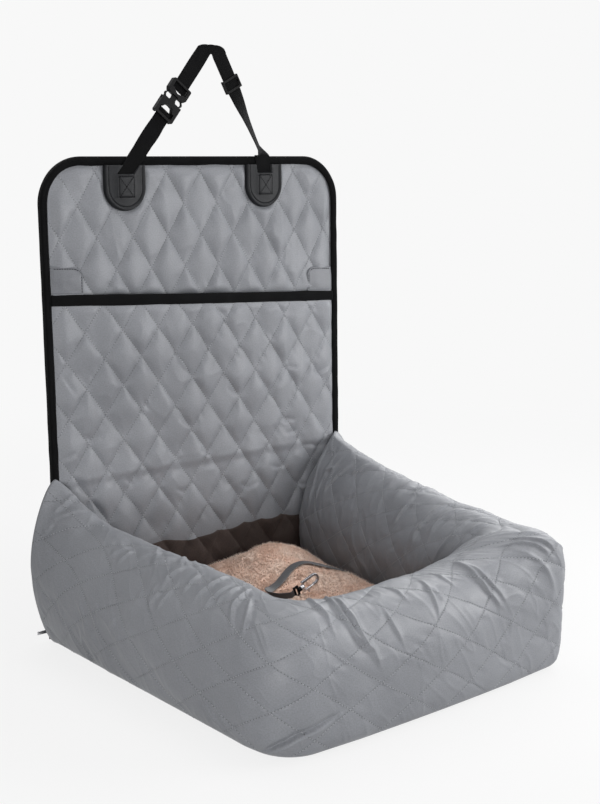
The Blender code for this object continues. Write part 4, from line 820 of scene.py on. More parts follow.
def panelRelief(x, rise, look, seed):
    relief = quiltRelief(x - look["startAlong"], rise - look["startRise"], look, seed)
    drift = 0.0012 * roughNoise(x / 0.11, rise / 0.13, seed + 20, 2)
    creases = 0.0007 * crumple(x / 0.045 + 7, rise / 0.06, seed + 30)
    return relief + drift + creases + foldRelief(x, rise, panelFolds)


def foldRelief(along, rise, folds, sharper=1.0):
    # each fold is a bell across its line, steep on one side and long on the other,
    # with a shallow trough beyond, and faded out at its two ends
    relief = np.zeros(along.shape)
    for height, width, line in folds:
        width = width * sharper
        line = np.array(line)
        spans = np.diff(line, axis=0)
        lengths = np.linalg.norm(spans, axis=1)
        total, before = lengths.sum(), 0.0
        nearest, share, left = np.full(along.shape, 9.0), np.zeros(along.shape), np.zeros(along.shape, bool)
        for start, span, length in zip(line, spans, lengths):
            dx, dy = along - start[0], rise - start[1]
            t = np.clip((dx * span[0] + dy * span[1]) / length**2, 0, 1)
            distance = np.hypot(dx - t * span[0], dy - t * span[1])
            closer = distance < nearest
            share = np.where(closer, (before + t * length) / total, share)
            left = np.where(closer, dx * span[1] - dy * span[0] < 0, left)
            nearest = np.minimum(distance, nearest)
            before += length
        fade = np.sqrt(np.sin(math.pi * np.clip(share, 0.02, 0.98)))
        wide = np.where(left, width * 1.7, width * 0.65)
        bell = np.exp(-((nearest / wide) ** 1.35)) - 0.30 * np.exp(-((nearest / width / 2.6) ** 2))
        relief = relief + height * fade * bell
    return relief


# creases pressed into the pocket and the lower back: height, half width, and line across and up the panel
panelFolds = (
    (-0.0036, 0.0035, ((0.148, 0.117), (0.161, 0.118), (0.174, 0.116))),
    (-0.0034, 0.0035, ((0.036, 0.097), (0.046, 0.089), (0.059, 0.086))),
    (-0.0036, 0.0034, ((0.145, 0.031), (0.158, 0.032), (0.172, 0.030))),
    (-0.0036, 0.0034, ((0.154, 0.010), (0.165, 0.010), (0.176, 0.011))),
    (-0.0042, 0.0038, ((0.188, -0.016), (0.205, -0.016), (0.228, -0.022))),
    (-0.0040, 0.0045, ((0.206, 0.103), (0.224, 0.102), (0.242, 0.109), (0.251, 0.123))),
    (-0.0026, 0.0040, ((-0.054, 0.061), (-0.042, 0.052), (-0.028, 0.045))),
    (-0.0034, 0.0040, ((-0.015, 0.005), (-0.001, -0.002), (0.012, 0.011))),
    (-0.0036, 0.0045, ((-0.217, 0.055), (-0.204, 0.046), (-0.190, 0.050), (-0.181, 0.057))),
    (-0.0034, 0.0040, ((-0.255, 0.024), (-0.245, 0.026), (-0.234, 0.033))),
    (-0.0030, 0.0035, ((-0.246, 0.144), (-0.238, 0.130), (-0.230, 0.119))),
    (-0.0030, 0.0040, ((-0.118, 0.097), (-0.108, 0.084), (-0.094, 0.099))),
    (-0.0026, 0.0040, ((0.011, 0.227), (0.028, 0.213), (0.042, 0.226))),
    (-0.0024, 0.0035, ((-0.261, 0.160), (-0.255, 0.158), (-0.248, 0.156))),
    (0.0026, 0.0040, ((-0.058, 0.156), (-0.044, 0.139), (-0.031, 0.130))),
    (-0.0020, 0.0040, ((-0.173, 0.134), (-0.163, 0.128), (-0.152, 0.125))),
    (-0.0034, 0.0036, ((0.120, -0.040), (0.140, -0.046), (0.158, -0.040))),
    (-0.0030, 0.0036, ((0.060, -0.060), (0.075, -0.068), (0.095, -0.062))),
    (-0.0030, 0.0036, ((0.170, -0.070), (0.185, -0.082), (0.205, -0.080))),
    (-0.0026, 0.0036, ((-0.060, -0.050), (-0.045, -0.058), (-0.030, -0.050))),
    (-0.0026, 0.0036, ((-0.150, -0.020), (-0.135, -0.030), (-0.120, -0.024))),
)

# leather patches: a U with a padded rim, a slot for the strap, and a boxed cross of thread below it
leatherPatch = {
    "width": 0.0685,
    "drop": 0.0780,
    "back": 0.0063,
    "thickness": 0.0032,
    "rim": 0.0011,
    "slotDrop": 0.0250,
    "boxTall": 0.0300,
    "boxWide": 0.0250,
    "seam": 0.0062,
    "stitchPitch": 0.0032,
    "stitchShare": 0.74,
    "thread": 0.00042,
}
patchMiddle = {"left": -0.1325, "right": 0.1185}


# the pocket: the height and slope of its mouth, its foot, how far it gapes, and the band along its mouth
pocket = {
    "mouth": 0.2472,
    "mouthSlope": 0.0135,
    "foot": 0.022,
    "gape": 0.0115,
    "thickness": 0.0025,
    "bandWidth": 0.0146,
    "bandThickness": 0.0056,
}


def mouthRise(x):
    # the pocket's mouth hangs a little lower at one side
    return pocket["mouth"] - pocket["mouthSlope"] * x / (panel["width"] / 2)


def edgeDistance(x, rise):
    # distance inwards from the panel's side and top edge, round at its two top corners
    half, top, radius = panel["width"] / 2, panel["rise"], panel["cornerRadius"]
    dx, dr = np.abs(x) - (half - radius), rise - (top - radius)
    inCorner = (dx > 0) & (dr > 0)
    straight = np.minimum(half - np.abs(x), top - rise)
    return np.where(inCorner, radius - np.hypot(dx, dr), straight)


def halfWidthOfPanel(rise, inset):
    half, top, radius = panel["width"] / 2 - inset, panel["rise"] - inset, panel["cornerRadius"] - inset
    up = np.clip(rise - (top - radius), 0, radius)
    return half - radius + np.sqrt(np.maximum(radius**2 - up**2, 0))


def clearOfPatches(x, rise):
    # zero under the two leather patches, which press the quilt flat, and one from 7 mm beyond them
    radius = leatherPatch["width"] / 2
    centre = panel["rise"] - leatherPatch["drop"] + radius
    clear = 1.0
    for middle in patchMiddle.values():
        reach = np.hypot(x - middle, np.minimum(rise - centre, 0))
        clear = clear * smoothStep(radius - 0.002, radius + 0.007, reach)
    return clear


def upperFront(x, rise):
    edge = edgeDistance(x, rise)
    ease = smoothStep(0.010, 0.030, edge) * smoothStep(-0.006, 0.012, rise - mouthRise(x))
    return panel["front"] + ease * clearOfPatches(x, rise) * panelRelief(x, rise, upperQuilting, 41)


def panelGrid(low, straight, curved, across):
    # places across and up the panel from a low rise to its top edge, with closer rows round its corners
    top, corner = panel["rise"] - panel["inset"], 0.03
    below = np.linspace(low, top - corner, straight, endpoint=False)
    bent = top - corner * (1 - np.sin(np.linspace(0, math.pi / 2, curved)))
    rise = np.concatenate([below, bent])[:, None]
    x = np.linspace(-1, 1, across)[None, :] * halfWidthOfPanel(rise, panel["inset"])
    return x, np.broadcast_to(rise, x.shape)


def addPanelSlab(name, x, rise, front, back, *finish):
    # a slab on the panel, given by how far its front and its back stand out of the panel's face
    x, rise, front, back = np.broadcast_arrays(x, rise, front, back)
    return addSlab(name, panelPoint(x, rise, front), panelPoint(x, rise, back), rise, x, *finish)


def addUpperQuilt():
    x, rise = panelGrid(-0.003, 158, 38, 250)
    finish = (upperSatin, "back_panel", "grey_quilt", ["panel_quilt"])
    addPanelSlab("upperQuilt", x, rise, upperFront(x, rise), -panel["back"], *finish)
    starts, ends = stitchParameters(upperQuilting, (-0.26, 0.26), (0.23, 0.45))
    keep = (edgeDistance(*starts.T) > 0.0135) & (edgeDistance(*ends.T) > 0.0135)
    keep &= starts[:, 1] > mouthRise(starts[:, 0]) + 0.002
    addPanelStitches("upperQuiltStitches", starts[keep], ends[keep], upperFront, "back_panel")


def addPanelStitches(name, starts, ends, surface, body):
    a = panelPoint(starts[:, 0], starts[:, 1], surface(*starts.T) + stitching["radius"] * 0.5)
    b = panelPoint(ends[:, 0], ends[:, 1], surface(*ends.T) + stitching["radius"] * 0.5)
    return addStitches(name, a, b, outOfPanel, stitching["radius"], greyThread, body, "grey_quilt")




def pocketLift(x, rise):
    # how far the pocket's back stands off the panel: most at the middle of its mouth
    across = np.clip(x / (panel["width"] / 2 - 0.0133), -1, 1)
    share = np.clip((rise - pocket["foot"]) / (mouthRise(x) - pocket["foot"]), 0, 1)
    gape = pocket["gape"] * (1 - across**2) * np.sin(math.pi / 2 * share)
    base = -panel["back"] + (panel["front"] + 0.0003 + panel["back"]) * smoothStep(-0.022, -0.006, rise)
    return base + gape


def lowerFront(x, rise):
    full = panel["front"] + panel["back"]
    thick = full - (full - pocket["thickness"]) * smoothStep(-0.03, 0.0, rise)
    thick = thick - 0.0012 * smoothStep(0.2530, 0.2570, np.abs(x)) * smoothStep(-0.01, 0.01, rise)
    ease = smoothStep(0.010, 0.028, panel["width"] / 2 - np.abs(x))
    ease = ease * smoothStep(0.012, 0.026, mouthRise(x) - rise)
    return pocketLift(x, rise) + thick + ease * panelRelief(x, rise, lowerQuilting, 61)


def addLowerQuilt():
    # one cloth: the pocket's front above the fold, which runs on down behind the bed
    x = np.linspace(-1, 1, 236)[None, :] * (panel["width"] / 2 - panel["inset"])
    share = np.linspace(0, 1, 208)[:, None]
    rise = panel["foot"] + share * (mouthRise(x) - 0.002 - panel["foot"])
    x = np.broadcast_to(x, rise.shape)
    finish = (lowerSatin, None, "grey_quilt", ["pocket_front", "back_wall_quilt"])
    acrossFold(addPanelSlab("lowerQuilt", x, rise, lowerFront(x, rise), pocketLift(x, rise), *finish))
    starts, ends = stitchParameters(lowerQuilting, (-0.2535, 0.2535), (-0.240, 0.25))
    keep = (starts[:, 1] < mouthRise(starts[:, 0]) - 0.015) & (ends[:, 1] < mouthRise(ends[:, 0]) - 0.015)
    acrossFold(addPanelStitches("lowerQuiltStitches", starts[keep], ends[keep], lowerFront, None))


def acrossFold(piece):
    # cloth that crosses the fold: its placing is baked into its points
    low, high = panelPoint(0, -0.016, 0), panelPoint(0, 0.020, 0)
    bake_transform(piece)


addUpperQuilt()
addLowerQuilt()
print("quilted back made")

# a dark sheet along the foot of the back, as painted shade in place of the shadow there, with an uneven upper
# edge
skirt = {"half": 0.19, "top": -0.1265, "wave": 0.0055, "thickness": 0.0009, "foot": -0.2420}


def addSkirt():
    x = np.linspace(-skirt["half"], skirt["half"], 220)[None, :]
    peaks = 0.6 - 1.7 * np.abs(noise(x / 0.041 + 3, x * 0 + 1, 71)) ** 0.9
    wave = skirt["wave"] * (peaks + 0.7 * roughNoise(x / 0.07 + 3, x * 0 + 7, 73, 3))
    top = skirt["top"] + wave
    share = np.linspace(0, 1, 70)[:, None]
    rise = skirt["foot"] + share * (top - skirt["foot"])
    x = np.broadcast_to(x, rise.shape)
    edge = np.minimum(1, np.minimum(share, 1 - share) / 0.03)
    # painted shade: this thin dark sheet lies just over the quilt and follows its relief, standing in for the
    # shadow at the foot of the back
    under = lowerFront(x, rise) + 0.0003
    front = under + skirt["thickness"] * (0.3 + 0.7 * edge)
    finish = (paintedShadeCloth, "bed", "dark_lining", ["back_wall_skirt"])
    addPanelSlab("paintedShadeSheet", x, rise, front, under - 0.0005, *finish)


addSkirt()

# black webbing folded over the side and top edges, in one run from the floor round to the floor
binding = {
    "left": 0.0098,
    "top": 0.0130,
    "right": 0.0138,
    "width": 0.0130,
    "frontOut": 0.0064,
    "backOut": -0.0057,
    "wall": 0.0014,
    "edgeRadius": 0.0032,
    "seam": 0.0025,
    "seamPitch": 0.0042,
    "seamStitch": 0.0030,
    "thread": 0.00035,
}


def edgePath():
    # the panel's side and top edge with its inward directions, round at the two top corners
    half, top, radius = panel["width"] / 2, panel["rise"], panel["cornerRadius"]
    sideRise = np.linspace(panel["foot"], top - radius, 150, endpoint=False)
    turn = np.radians(np.linspace(180, 90, 40, endpoint=False))
    acrossTop = np.linspace(-half + radius, 0, 60)
    x = np.concatenate([np.full(150, -half), -half + radius + radius * np.cos(turn), acrossTop])
    rise = np.concatenate([sideRise, top - radius + radius * np.sin(turn), np.full(60, top)])
    inX = np.concatenate([np.ones(150), -np.cos(turn), np.zeros(60)])
    inRise = np.concatenate([np.zeros(150), -np.sin(turn), -np.ones(60)])
    x, rise = np.concatenate([x, -x[-2::-1]]), np.concatenate([rise, rise[-2::-1]])
    return x, rise, np.concatenate([inX, -inX[-2::-1]]), np.concatenate([inRise, inRise[-2::-1]])


def addBinding():
    b = binding
    x, rise, inX, inRise = edgePath()
    steps = lengthsAlong(x, rise)
    turn = np.linspace(-math.pi / 2, math.pi / 2, 13)
    middle, half = (b["frontOut"] + b["backOut"]) / 2, (b["frontOut"] - b["backOut"]) / 2
    outerReach = np.concatenate([[b["width"]], b["edgeRadius"] * (1 - np.cos(turn)), [b["width"]]])
    outerOut = np.concatenate([[-half], np.sign(turn) * np.abs(np.sin(turn)) ** 0.6 * half, [half]])
    innerReach = np.maximum(outerReach, b["wall"])[::-1]
    innerOut = (np.sign(outerOut) * np.maximum(np.abs(outerOut) - b["wall"], 0))[::-1]
    reach = np.concatenate([outerReach, innerReach])
    out = middle + np.concatenate([outerOut, innerOut])
    # the binding laps further over the face at the right side than at the left
    turnLeft = smoothStep(-panel["width"] / 2 + 0.004, -panel["width"] / 2 + panel["cornerRadius"], x)
    turnRight = smoothStep(panel["width"] / 2 - panel["cornerRadius"], panel["width"] / 2 - 0.004, x)
    lap = b["left"] + (b["top"] - b["left"]) * turnLeft + (b["right"] - b["top"]) * turnRight
    wobble = (1 + 0.05 * noise(steps / 0.03, steps * 0, 81))[:, None] * (lap / b["width"])[:, None]
    puff = 0.0005 * noise(steps / 0.02, steps * 0 + 5, 82)[:, None] * np.sign(out - middle)[None]
    reachGrid = reach[None] * wobble
    px = x[:, None] + inX[:, None] * reachGrid
    pr = rise[:, None] + inRise[:, None] * reachGrid
    rings = panelPoint(px, pr, out[None] + puff)
    around = lengthsAlong(reach, out)
    around = np.append(around, around[-1] + b["wall"])
    replaced = ["panel_binding", "back_wall_binding_left", "back_wall_binding_right"]
    acrossFold(addTube("edgeBinding", rings, steps, around, webbing, None, replaced))
    # its seam: a line of stitches just inside the lap, above the fold only
    s = np.arange(0.004, steps[-1] - 0.004, b["seamPitch"])
    inner = np.interp(s, steps, lap) - b["seam"]
    points = []
    for end in (0, b["seamStitch"]):
        sx, sr = np.interp(s + end, steps, x), np.interp(s + end, steps, rise)
        ix, ir = np.interp(s + end, steps, inX), np.interp(s + end, steps, inRise)
        points.append((sx + ix * inner, sr + ir * inner))
    upper = (points[0][1] > 0.024) & (points[1][1] > 0.024)
    a, c = (panelPoint(px[upper], pr[upper], b["frontOut"] + 0.0002) for px, pr in points)
    addStitches("bindingStitches", a, c, outOfPanel, b["thread"], webbing, "back_panel", "black_webbing")


addBinding()


def addPocketBand():
    # the mouth's binding: webbing folded over the pocket's upper edge
    x = np.linspace(-0.2592, 0.2560, 200)
    top = mouthRise(x)
    rise = top - pocket["bandWidth"] / 2
    out = pocketLift(x, top) + pocket["thickness"] / 2 + 0.0002 + 0.0004 * noise(x / 0.03, x * 0, 91)
    centres = panelPoint(x, rise, out)
    up = panelPoint(0, 1, 0) - panelPoint(0, 0, 0)
    drop = pocketLift(x, top) - pocketLift(x, top - pocket["bandWidth"])
    across = up[None] * pocket["bandWidth"] + outOfPanel[None] * drop[:, None]
    across = across / np.linalg.norm(across, axis=1, keepdims=True)
    ahead = np.gradient(centres, axis=0)
    normals = np.cross(across, ahead)
    normals = normals / np.linalg.norm(normals, axis=1, keepdims=True)
    width = pocket["bandWidth"] * (1.12 + 0.04 * noise(x / 0.04, x * 0 + 3, 92))
    shape = (centres, across, normals, width, pocket["bandThickness"])
    addBand("pocketBand", *shape, webbing, "back_panel", "black_webbing", ["pocket_band"])


addPocketBand()


def addBackCloth():
    # plain backing over the rear of the panel and the bed's back, drawn in a little between its edges
    x, rise = panelGrid(panel["foot"], 150, 30, 120)
    slack = 0.0010 * roughNoise(x / 0.12, rise / 0.10, 95, 3)
    slack = slack * smoothStep(0.012, 0.05, edgeDistance(x, rise))
    slack = slack * smoothStep(0.03, 0.06, rise - panel["foot"])
    back = -panel["clothBack"] - 0.0006 + np.minimum(slack, 0.0009)
    finish = (backing, None, "black_backing", ["panel_cloth", "back_wall_cloth"])
    acrossFold(addPanelSlab("backCloth", x, rise, -panel["back"] - 0.0003, back, *finish))


addBackCloth()

# plain patches over the ends of the pocket mouth
cornerPatch = {
    "width": 0.052,
    "rise": 0.0410,
    "radius": 0.016,
    "thickness": 0.0026,
    "sit": 0.0050,
    "insetLeft": 0.0096,
    "insetRight": 0.0136,
    "seam": 0.003,
    "seamPitch": 0.0040,
    "thread": 0.00045,
}


def addCornerPatch(side, name, node):
    c = cornerPatch
    far = panel["width"] / 2 - (c["insetLeft"] if side < 0 else c["insetRight"])
    near = far - c["width"]
    share = np.linspace(0, 1, 90)[None, :]
    x = near + (far - near) * share
    cut = np.clip(1 - (x - near) / c["radius"], 0, 1)
    height = c["rise"] - c["radius"] * (1 - np.sqrt(1 - cut**2))
    up = np.linspace(0, 1, 80)[:, None]
    low = mouthRise(side * x) - 0.001
    rise = low + up * height
    x = np.broadcast_to(x, rise.shape)
    rim = np.minimum(np.minimum(x - near, rise - low), low + height - rise) / 0.0016
    bulge = c["thickness"] * np.clip(rim, 0.15, 1) ** 0.5
    bulge = bulge + 0.0016 * np.sin(math.pi * np.clip(share, 0, 1)) * np.sin(math.pi * up)
    bulge = bulge + 0.0009 * roughNoise(x / 0.02, rise / 0.02, 101 + side, 2) * smoothStep(0, 5, rim)
    bulge = bulge - 0.0009 * np.exp(-(((rim - 1.9) / 0.4) ** 2))
    sit = c["sit"] - 0.0016 * smoothStep(far - 0.006, far, x)
    # painted shade: the patch's satin is a darker copy of the quilt's satin
    finish = (shadedPatchSatin, "back_panel", "grey_quilt", [node])
    addPanelSlab(name, side * x, rise, sit + bulge, panel["front"] + 0.0002, *finish)
    # its seam: dark thread just inside the free edges
    turn = np.radians(np.linspace(180, 90, 12))
    seam = c["seam"]
    radius, mark = c["radius"] - seam, c["rise"] - seam
    level = np.linspace(near + c["radius"], far - 0.002, 12)[1:]
    px = np.concatenate([np.full(10, near + seam), near + seam + radius * (1 + np.cos(turn)), level])
    upright = np.linspace(0.004, mark - radius, 10, endpoint=False)
    pr = np.concatenate([upright, mark - radius * (1 - np.sin(turn)), np.full(11, mark)])
    steps = lengthsAlong(px, pr)
    s = np.arange(0.0005, steps[-1] - 0.0042, c["seamPitch"])
    found = []
    for end in (0, stitching["length"]):
        sx, sr = np.interp(s + end, steps, px), np.interp(s + end, steps, pr)
        sr = sr + mouthRise(side * sx) - 0.001
        found.append(panelPoint(side * sx, sr, c["sit"] + c["thickness"] - 0.0002 + 0 * sx))
    addStitches(name + "Seam", *found, outOfPanel, c["thread"], webbing, "back_panel", "black_webbing")


addCornerPatch(-1, "cornerPatchLeft", "corner_patch_left")
addCornerPatch(1, "cornerPatchRight", "corner_patch_right")

# the headrest strap: an inverted V of webbing in the panel's plane; twist says how far its right run has
# turned over, as a share of twistDeg, at each of the shares of its length in twistPlaces, from the apex down
strap = {
    "width": 0.0250,
    "thickness": 0.0016,
    "plane": 0.0073,
    "axisRise": 0.4535,
    "footLeft": -0.1107,
    "footRight": 0.1150,
    "apexLeft": 0.0144,
    "apexRight": 0.0335,
    "rise": 0.1560,
    "flatTop": 0.0088,
    "twistDeg": -53.0,
    "twistPlaces": (0, 0.38, 0.50, 0.62, 0.72, 0.85, 0.93, 1),
    "twist": (0, 0.05, 0.28, 0.57, 0.72, 0.83, 0.86, 0.40),
    "buckleShare": 0.5,
    "buckleHalf": 0.0300,
    "barPlace": 0.0182,
    "footDrop": 0.0024,
    "footThickness": 0.0010,
}


def strapLines():
    # feet, directions and lengths of the two runs of the inverted V, in the panel's plane
    feet = np.array([[strap["footLeft"], strap["axisRise"]], [strap["footRight"], strap["axisRise"]]])
    top = strap["axisRise"] + strap["rise"]
    runs = np.array([[strap["apexLeft"], top], [strap["apexRight"], top]]) - feet
    lengths = np.linalg.norm(runs, axis=1)
    along = runs / lengths[:, None]
    outward = np.array([[-along[0][1], along[0][0]], [along[1][1], -along[1][0]]])
    return feet, along, outward, lengths


def addLeatherPatch(side):
    p = leatherPatch
    middle = patchMiddle[side]
    radius = p["width"] / 2
    top = panel["rise"] - 0.0125
    bottom = panel["rise"] - p["drop"]
    centre = bottom + radius
    closing = 0.5 + 0.5 * np.sin(np.linspace(0, 1.52, 60))
    share = np.concatenate([np.linspace(0, 0.5, 60, endpoint=False), closing])
    rise = (top - (top - bottom) * share)[:, None]
    half = np.where(rise > centre, radius, np.sqrt(np.maximum(radius**2 - (centre - rise) ** 2, 1e-9)))
    x = np.linspace(-1, 1, 90)[None, :] * half
    rise = np.broadcast_to(rise, x.shape)
    inside = np.where(rise > centre, radius - np.abs(x), radius - np.hypot(x, rise - centre))
    edge = np.clip(inside / 0.0016, 0.02, 1) ** 0.5
    out = p["thickness"] * edge
    out = out + p["rim"] * np.exp(-(((inside - 0.0030) / 0.0020) ** 2))
    out = out + 0.0012 * smoothStep(0.007, 0.024, inside)
    out = out - 0.0007 * np.exp(-(((inside - p["seam"]) / 0.0007) ** 2))
    slotRise = panel["rise"] - p["slotDrop"]
    foot, way = (strapLines()[k][0 if side == "left" else 1] for k in (0, 1))
    shift = np.clip((rise - slotRise) / (strap["axisRise"] - slotRise), 0, 1)
    strapX = (foot[0] - middle) * shift
    inSlot = smoothStep(0.0146, 0.0134, np.abs(x - strapX))
    inSlot = inSlot * smoothStep(slotRise - 0.0012, slotRise + 0.0006, rise)
    out = out * (1 - inSlot) + inSlot * 0.0001
    swell = np.exp(-(((np.abs(x) / 0.0135) ** 4))) * smoothStep(slotRise - 0.036, slotRise - 0.030, rise)
    out = out + 0.0012 * swell * (1 - inSlot) * (rise < slotRise)
    box = (p["boxWide"] / 2, slotRise - 0.0035 - p["boxTall"], slotRise - 0.0035)
    toBox = np.maximum(np.abs(x) - box[0], np.maximum(box[1] - rise, rise - box[2]))
    out = out - 0.0006 * np.exp(-((toBox / 0.0008) ** 2))
    front, back = (panelPoint(x + middle, rise, k) for k in (p["back"] + out, 0.0034))
    name, node = "leatherPatch" + side.title(), "strap_patch_" + side
    addSlab(name, front, back, rise, x, leather, "back_panel", "dark_leather", [node])
    addPatchStitches(side, box, top, centre)


def addPatchStitches(side, box, top, centre):
    # two threads: round and across the box under the slot, and along the patch's padded rim
    p = leatherPatch
    radius, middle = p["width"] / 2, patchMiddle[side]
    corners = [(-box[0], box[1]), (box[0], box[1]), (box[0], box[2]), (-box[0], box[2])]
    starts, ends = [], []
    for first, last in ((0, 1), (1, 2), (2, 3), (3, 0), (0, 2), (1, 3)):
        first, last = np.array(corners[first]), np.array(corners[last])
        count = int(np.linalg.norm(last - first) / p["stitchPitch"])
        s = np.arange(count) / count
        starts.append(first + (last - first) * s[:, None])
        ends.append(first + (last - first) * (s[:, None] + p["stitchShare"] / count))
    down = np.linspace(top - 0.003, centre, 14)
    bend = np.radians(np.linspace(180, 360, 36))[1:-1]
    ring = radius - p["seam"]
    line = [(-ring, r) for r in down] + [(ring * math.cos(b), centre + ring * math.sin(b)) for b in bend]
    line = np.array(line + [(ring, r) for r in down[::-1]])
    starts.append(line[:-1])
    ends.append(line[:-1] + p["stitchShare"] * (line[1:] - line[:-1]))
    starts, ends = np.concatenate(starts), np.concatenate(ends)
    x, rise = starts.T
    inside = np.where(rise > centre, radius - np.abs(x), radius - np.hypot(x, rise - centre))
    onRim = np.abs(inside - p["seam"]) < 0.0009
    height = p["back"] + p["thickness"] + np.where(onRim, -0.0002, 0.0028)
    a = panelPoint(starts[:, 0] + middle, starts[:, 1], height)
    c = panelPoint(ends[:, 0] + middle, ends[:, 1], height)
    name = "patchStitches" + side.title()
    addStitches(name, a, c, outOfPanel, p["thread"], webbing, "back_panel", "black_webbing")


for side in ("left", "right"):
    addLeatherPatch(side)
    solidCopy("strapTail" + side.title(), "strap_tail_" + side, "back_panel", webbing, 0.0)
print("patches made")


def addStrapBand(name, stations, node, foot):
    # each station is the band's centre, its width direction and half width, its face direction and its
    # thickness, in panel coordinates; the rings between two stations are read straight between them
    rows = np.array([np.concatenate([c, a, n, [w, t]]) for c, a, w, n, t in stations], float)
    steps = lengthsAlong(rows[:, :3])
    fine = np.unique(np.concatenate([np.arange(0, steps[-1], 0.0016), steps]))
    rows = np.stack([np.interp(fine, steps, rows[:, k]) for k in range(rows.shape[1])], 1)

    def turned(vectors):
        origin = panelPoint(0, 0, 0)
        world = panelPoint(vectors[:, 0], vectors[:, 1], vectors[:, 2]) - origin
        return world / np.linalg.norm(world, axis=1, keepdims=True)

    centres = panelPoint(rows[:, 0], rows[:, 1], rows[:, 2])
    across, normals = turned(rows[:, 3:6]), turned(rows[:, 6:9])
    width = rows[:, 9] * 2 * (1 + 0.008 * noise(fine / 0.012, fine * 0, 111))
    shape = (centres, across, normals, width, rows[:, 10])
    piece = addBand(name, *shape, webbing, None, "black_webbing", [node])
    # the band's placing is baked into its points
    low, high = (panelPoint(foot[0], foot[1] + step, strap["plane"]) for step in (-0.002, 0.018))
    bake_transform(piece)


def addStraps():
    feet, along, outward, lengths = strapLines()
    half, thick, plane = strap["width"] / 2, strap["thickness"], strap["plane"]

    def square(run, distance, bow=0.0):
        centre = feet[run] + along[run] * distance
        return ([*centre, plane + bow], [*outward[run], 0], half, [0, 0, 1], thick)

    def level(run, rise, thickness=thick):
        centre = feet[run] + along[run] * (rise - feet[run][1]) / along[run][1]
        side = -1 if run == 0 else 1
        return ([*centre, plane], [side, 0, 0], half / along[run][1], [0, 0, 1], thickness)

    buckle = lengths[0] * strap["buckleShare"]
    reach, bar = strap["buckleHalf"], strap["barPlace"]
    sewn = (strap["axisRise"] - strap["footDrop"], strap["footThickness"])
    left = [level(0, *sewn), level(0, strap["axisRise"])]
    left += [level(0, strap["axisRise"] + half), square(0, buckle - reach - half), square(0, buckle - bar)]
    addStrapBand("strapWebbingLeft", left, "strap_webbing_left", feet[0])
    innerLeft, innerRight = feet[0] - outward[0] * half, feet[1] - outward[1] * half
    solve = np.linalg.solve(np.stack([along[0], -along[1]], 1), innerRight - innerLeft)
    corner = innerLeft + along[0] * solve[0]
    cut = corner[1] + strap["flatTop"]
    outerLeft, outerRight = feet[0] + outward[0] * half, feet[1] + outward[1] * half
    cutLeft = outerLeft + along[0] * (cut - outerLeft[1]) / along[0][1]
    cutRight = outerRight + along[1] * (cut - outerRight[1]) / along[1][1]
    right = [square(0, buckle + bar), square(0, buckle + reach + half)]
    turns = (
        (cutLeft - along[0] * 0.004, -0.0012),
        (cutLeft + [0.0020, 0.0022], -0.0008),
        (cutLeft + [0.0087, 0.0044], -0.0005),
        (cutLeft + [0.0200, 0.0046], -0.0002),
        (cutLeft * 0.35 + cutRight * 0.65 + [0, 0.0046], 0.0002),
        (cutRight + [-0.0060, 0.0034], 0.0005),
        (cutRight + [0.0002, 0.0002], 0.0008),
        (cutRight - along[1] * 0.007 + [0.0006, 0], 0.0012),
    )
    for edge, shift in turns:
        inner = corner + [shift, 0]
        span = edge - inner
        wide = np.linalg.norm(span)
        right.append(([*(edge + inner) / 2, plane], [*span / wide, 0], wide / 2, [0, 0, 1], thick))
    first = 1 - np.linalg.norm(corner - feet[1]) / lengths[1]
    for share in np.linspace(first, 1, 60)[:-1]:
        if share <= first + strap["flatTop"] / lengths[1]:
            continue
        centre = feet[1] + along[1] * lengths[1] * (1 - share)
        wind = np.interp(share, strap["twistPlaces"], strap["twist"])
        turn = math.radians(strap["twistDeg"]) * wind
        across = [*(outward[1] * math.cos(turn)), math.sin(turn)]
        normal = [*(-outward[1] * math.sin(turn)), math.cos(turn)]
        right.append(([*centre, plane], across, half, normal, thick))
    right += [level(1, strap["axisRise"]), level(1, *sewn)]
    addStrapBand("strapWebbingRight", right, "strap_webbing_right", feet[1])


addStraps()
solidCopy("buckleFemale", "buckle_female", "headrest_strap", nylon, 0.0007)
solidCopy("buckleMale", "buckle_male", "headrest_strap", nylon, 0.0007)
solidCopy("buckleArmLeft", "buckle_arm_left", "arm_left", nylon, 0.0003)
solidCopy("buckleArmRight", "buckle_arm_right", "arm_right", nylon, 0.0003)
solidCopy("strapSlider", "strap_slider", "slider", nylon, 0.0004)
solidCopy("zipperTape", "zipper_tape", "bed", webbing, 0.0003)
solidCopy("zipperSlider", "zipper_slider", "zip_slider", nylon, 0.0003)
solidCopy("zipperPull", "zipper_pull", "zip_pull", zinc, 0.0004)
solidCopy("baseCloth", "base_cloth", "bed", backing, 0.0006)
solidCopy("basePad", "base_pad", "bed", batting, 0.0015)
print("straps and fittings made")


def addZipperTeeth():
    # coil teeth: a row of small rounded blocks on each side of the zipper's middle line
    low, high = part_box("zipper_teeth")
    pitch = 0.0016
    x = np.arange(low.x + pitch, high.x - pitch, pitch)
    middle, deep = (low + high) / 2, (high - low) / 2
    turn = np.linspace(0, 2 * math.pi, 8, endpoint=False)
    rings = []
    for share, size in ((-1, 0.45), (-0.6, 1), (0.6, 1), (1, 0.45)):
        wide = 0.00062 * size * np.cos(turn)
        tall = (high.z - low.z) * 0.27 * size * np.sin(turn)
        y = np.full(8, middle.y + deep.y * 0.8 * share)
        rings.append(np.stack([wide, y, tall], -1))
    tooth = np.stack(rings)
    side = np.where(np.arange(len(x)) % 2, 1, -1) * (high.z - low.z) * 0.16
    places = np.stack([x, np.zeros(len(x)), middle.z + side], -1)
    points = tooth[None] + places[:, None, None]
    quads = np.concatenate([tubeQuads(4, 8) + 32 * k for k in range(len(x))])
    uv = np.zeros((len(quads), 4, 2))
    addPiece("zipperTeeth", points, quads, uv, nylon, "bed", ["zipper_teeth"])


addZipperTeeth()

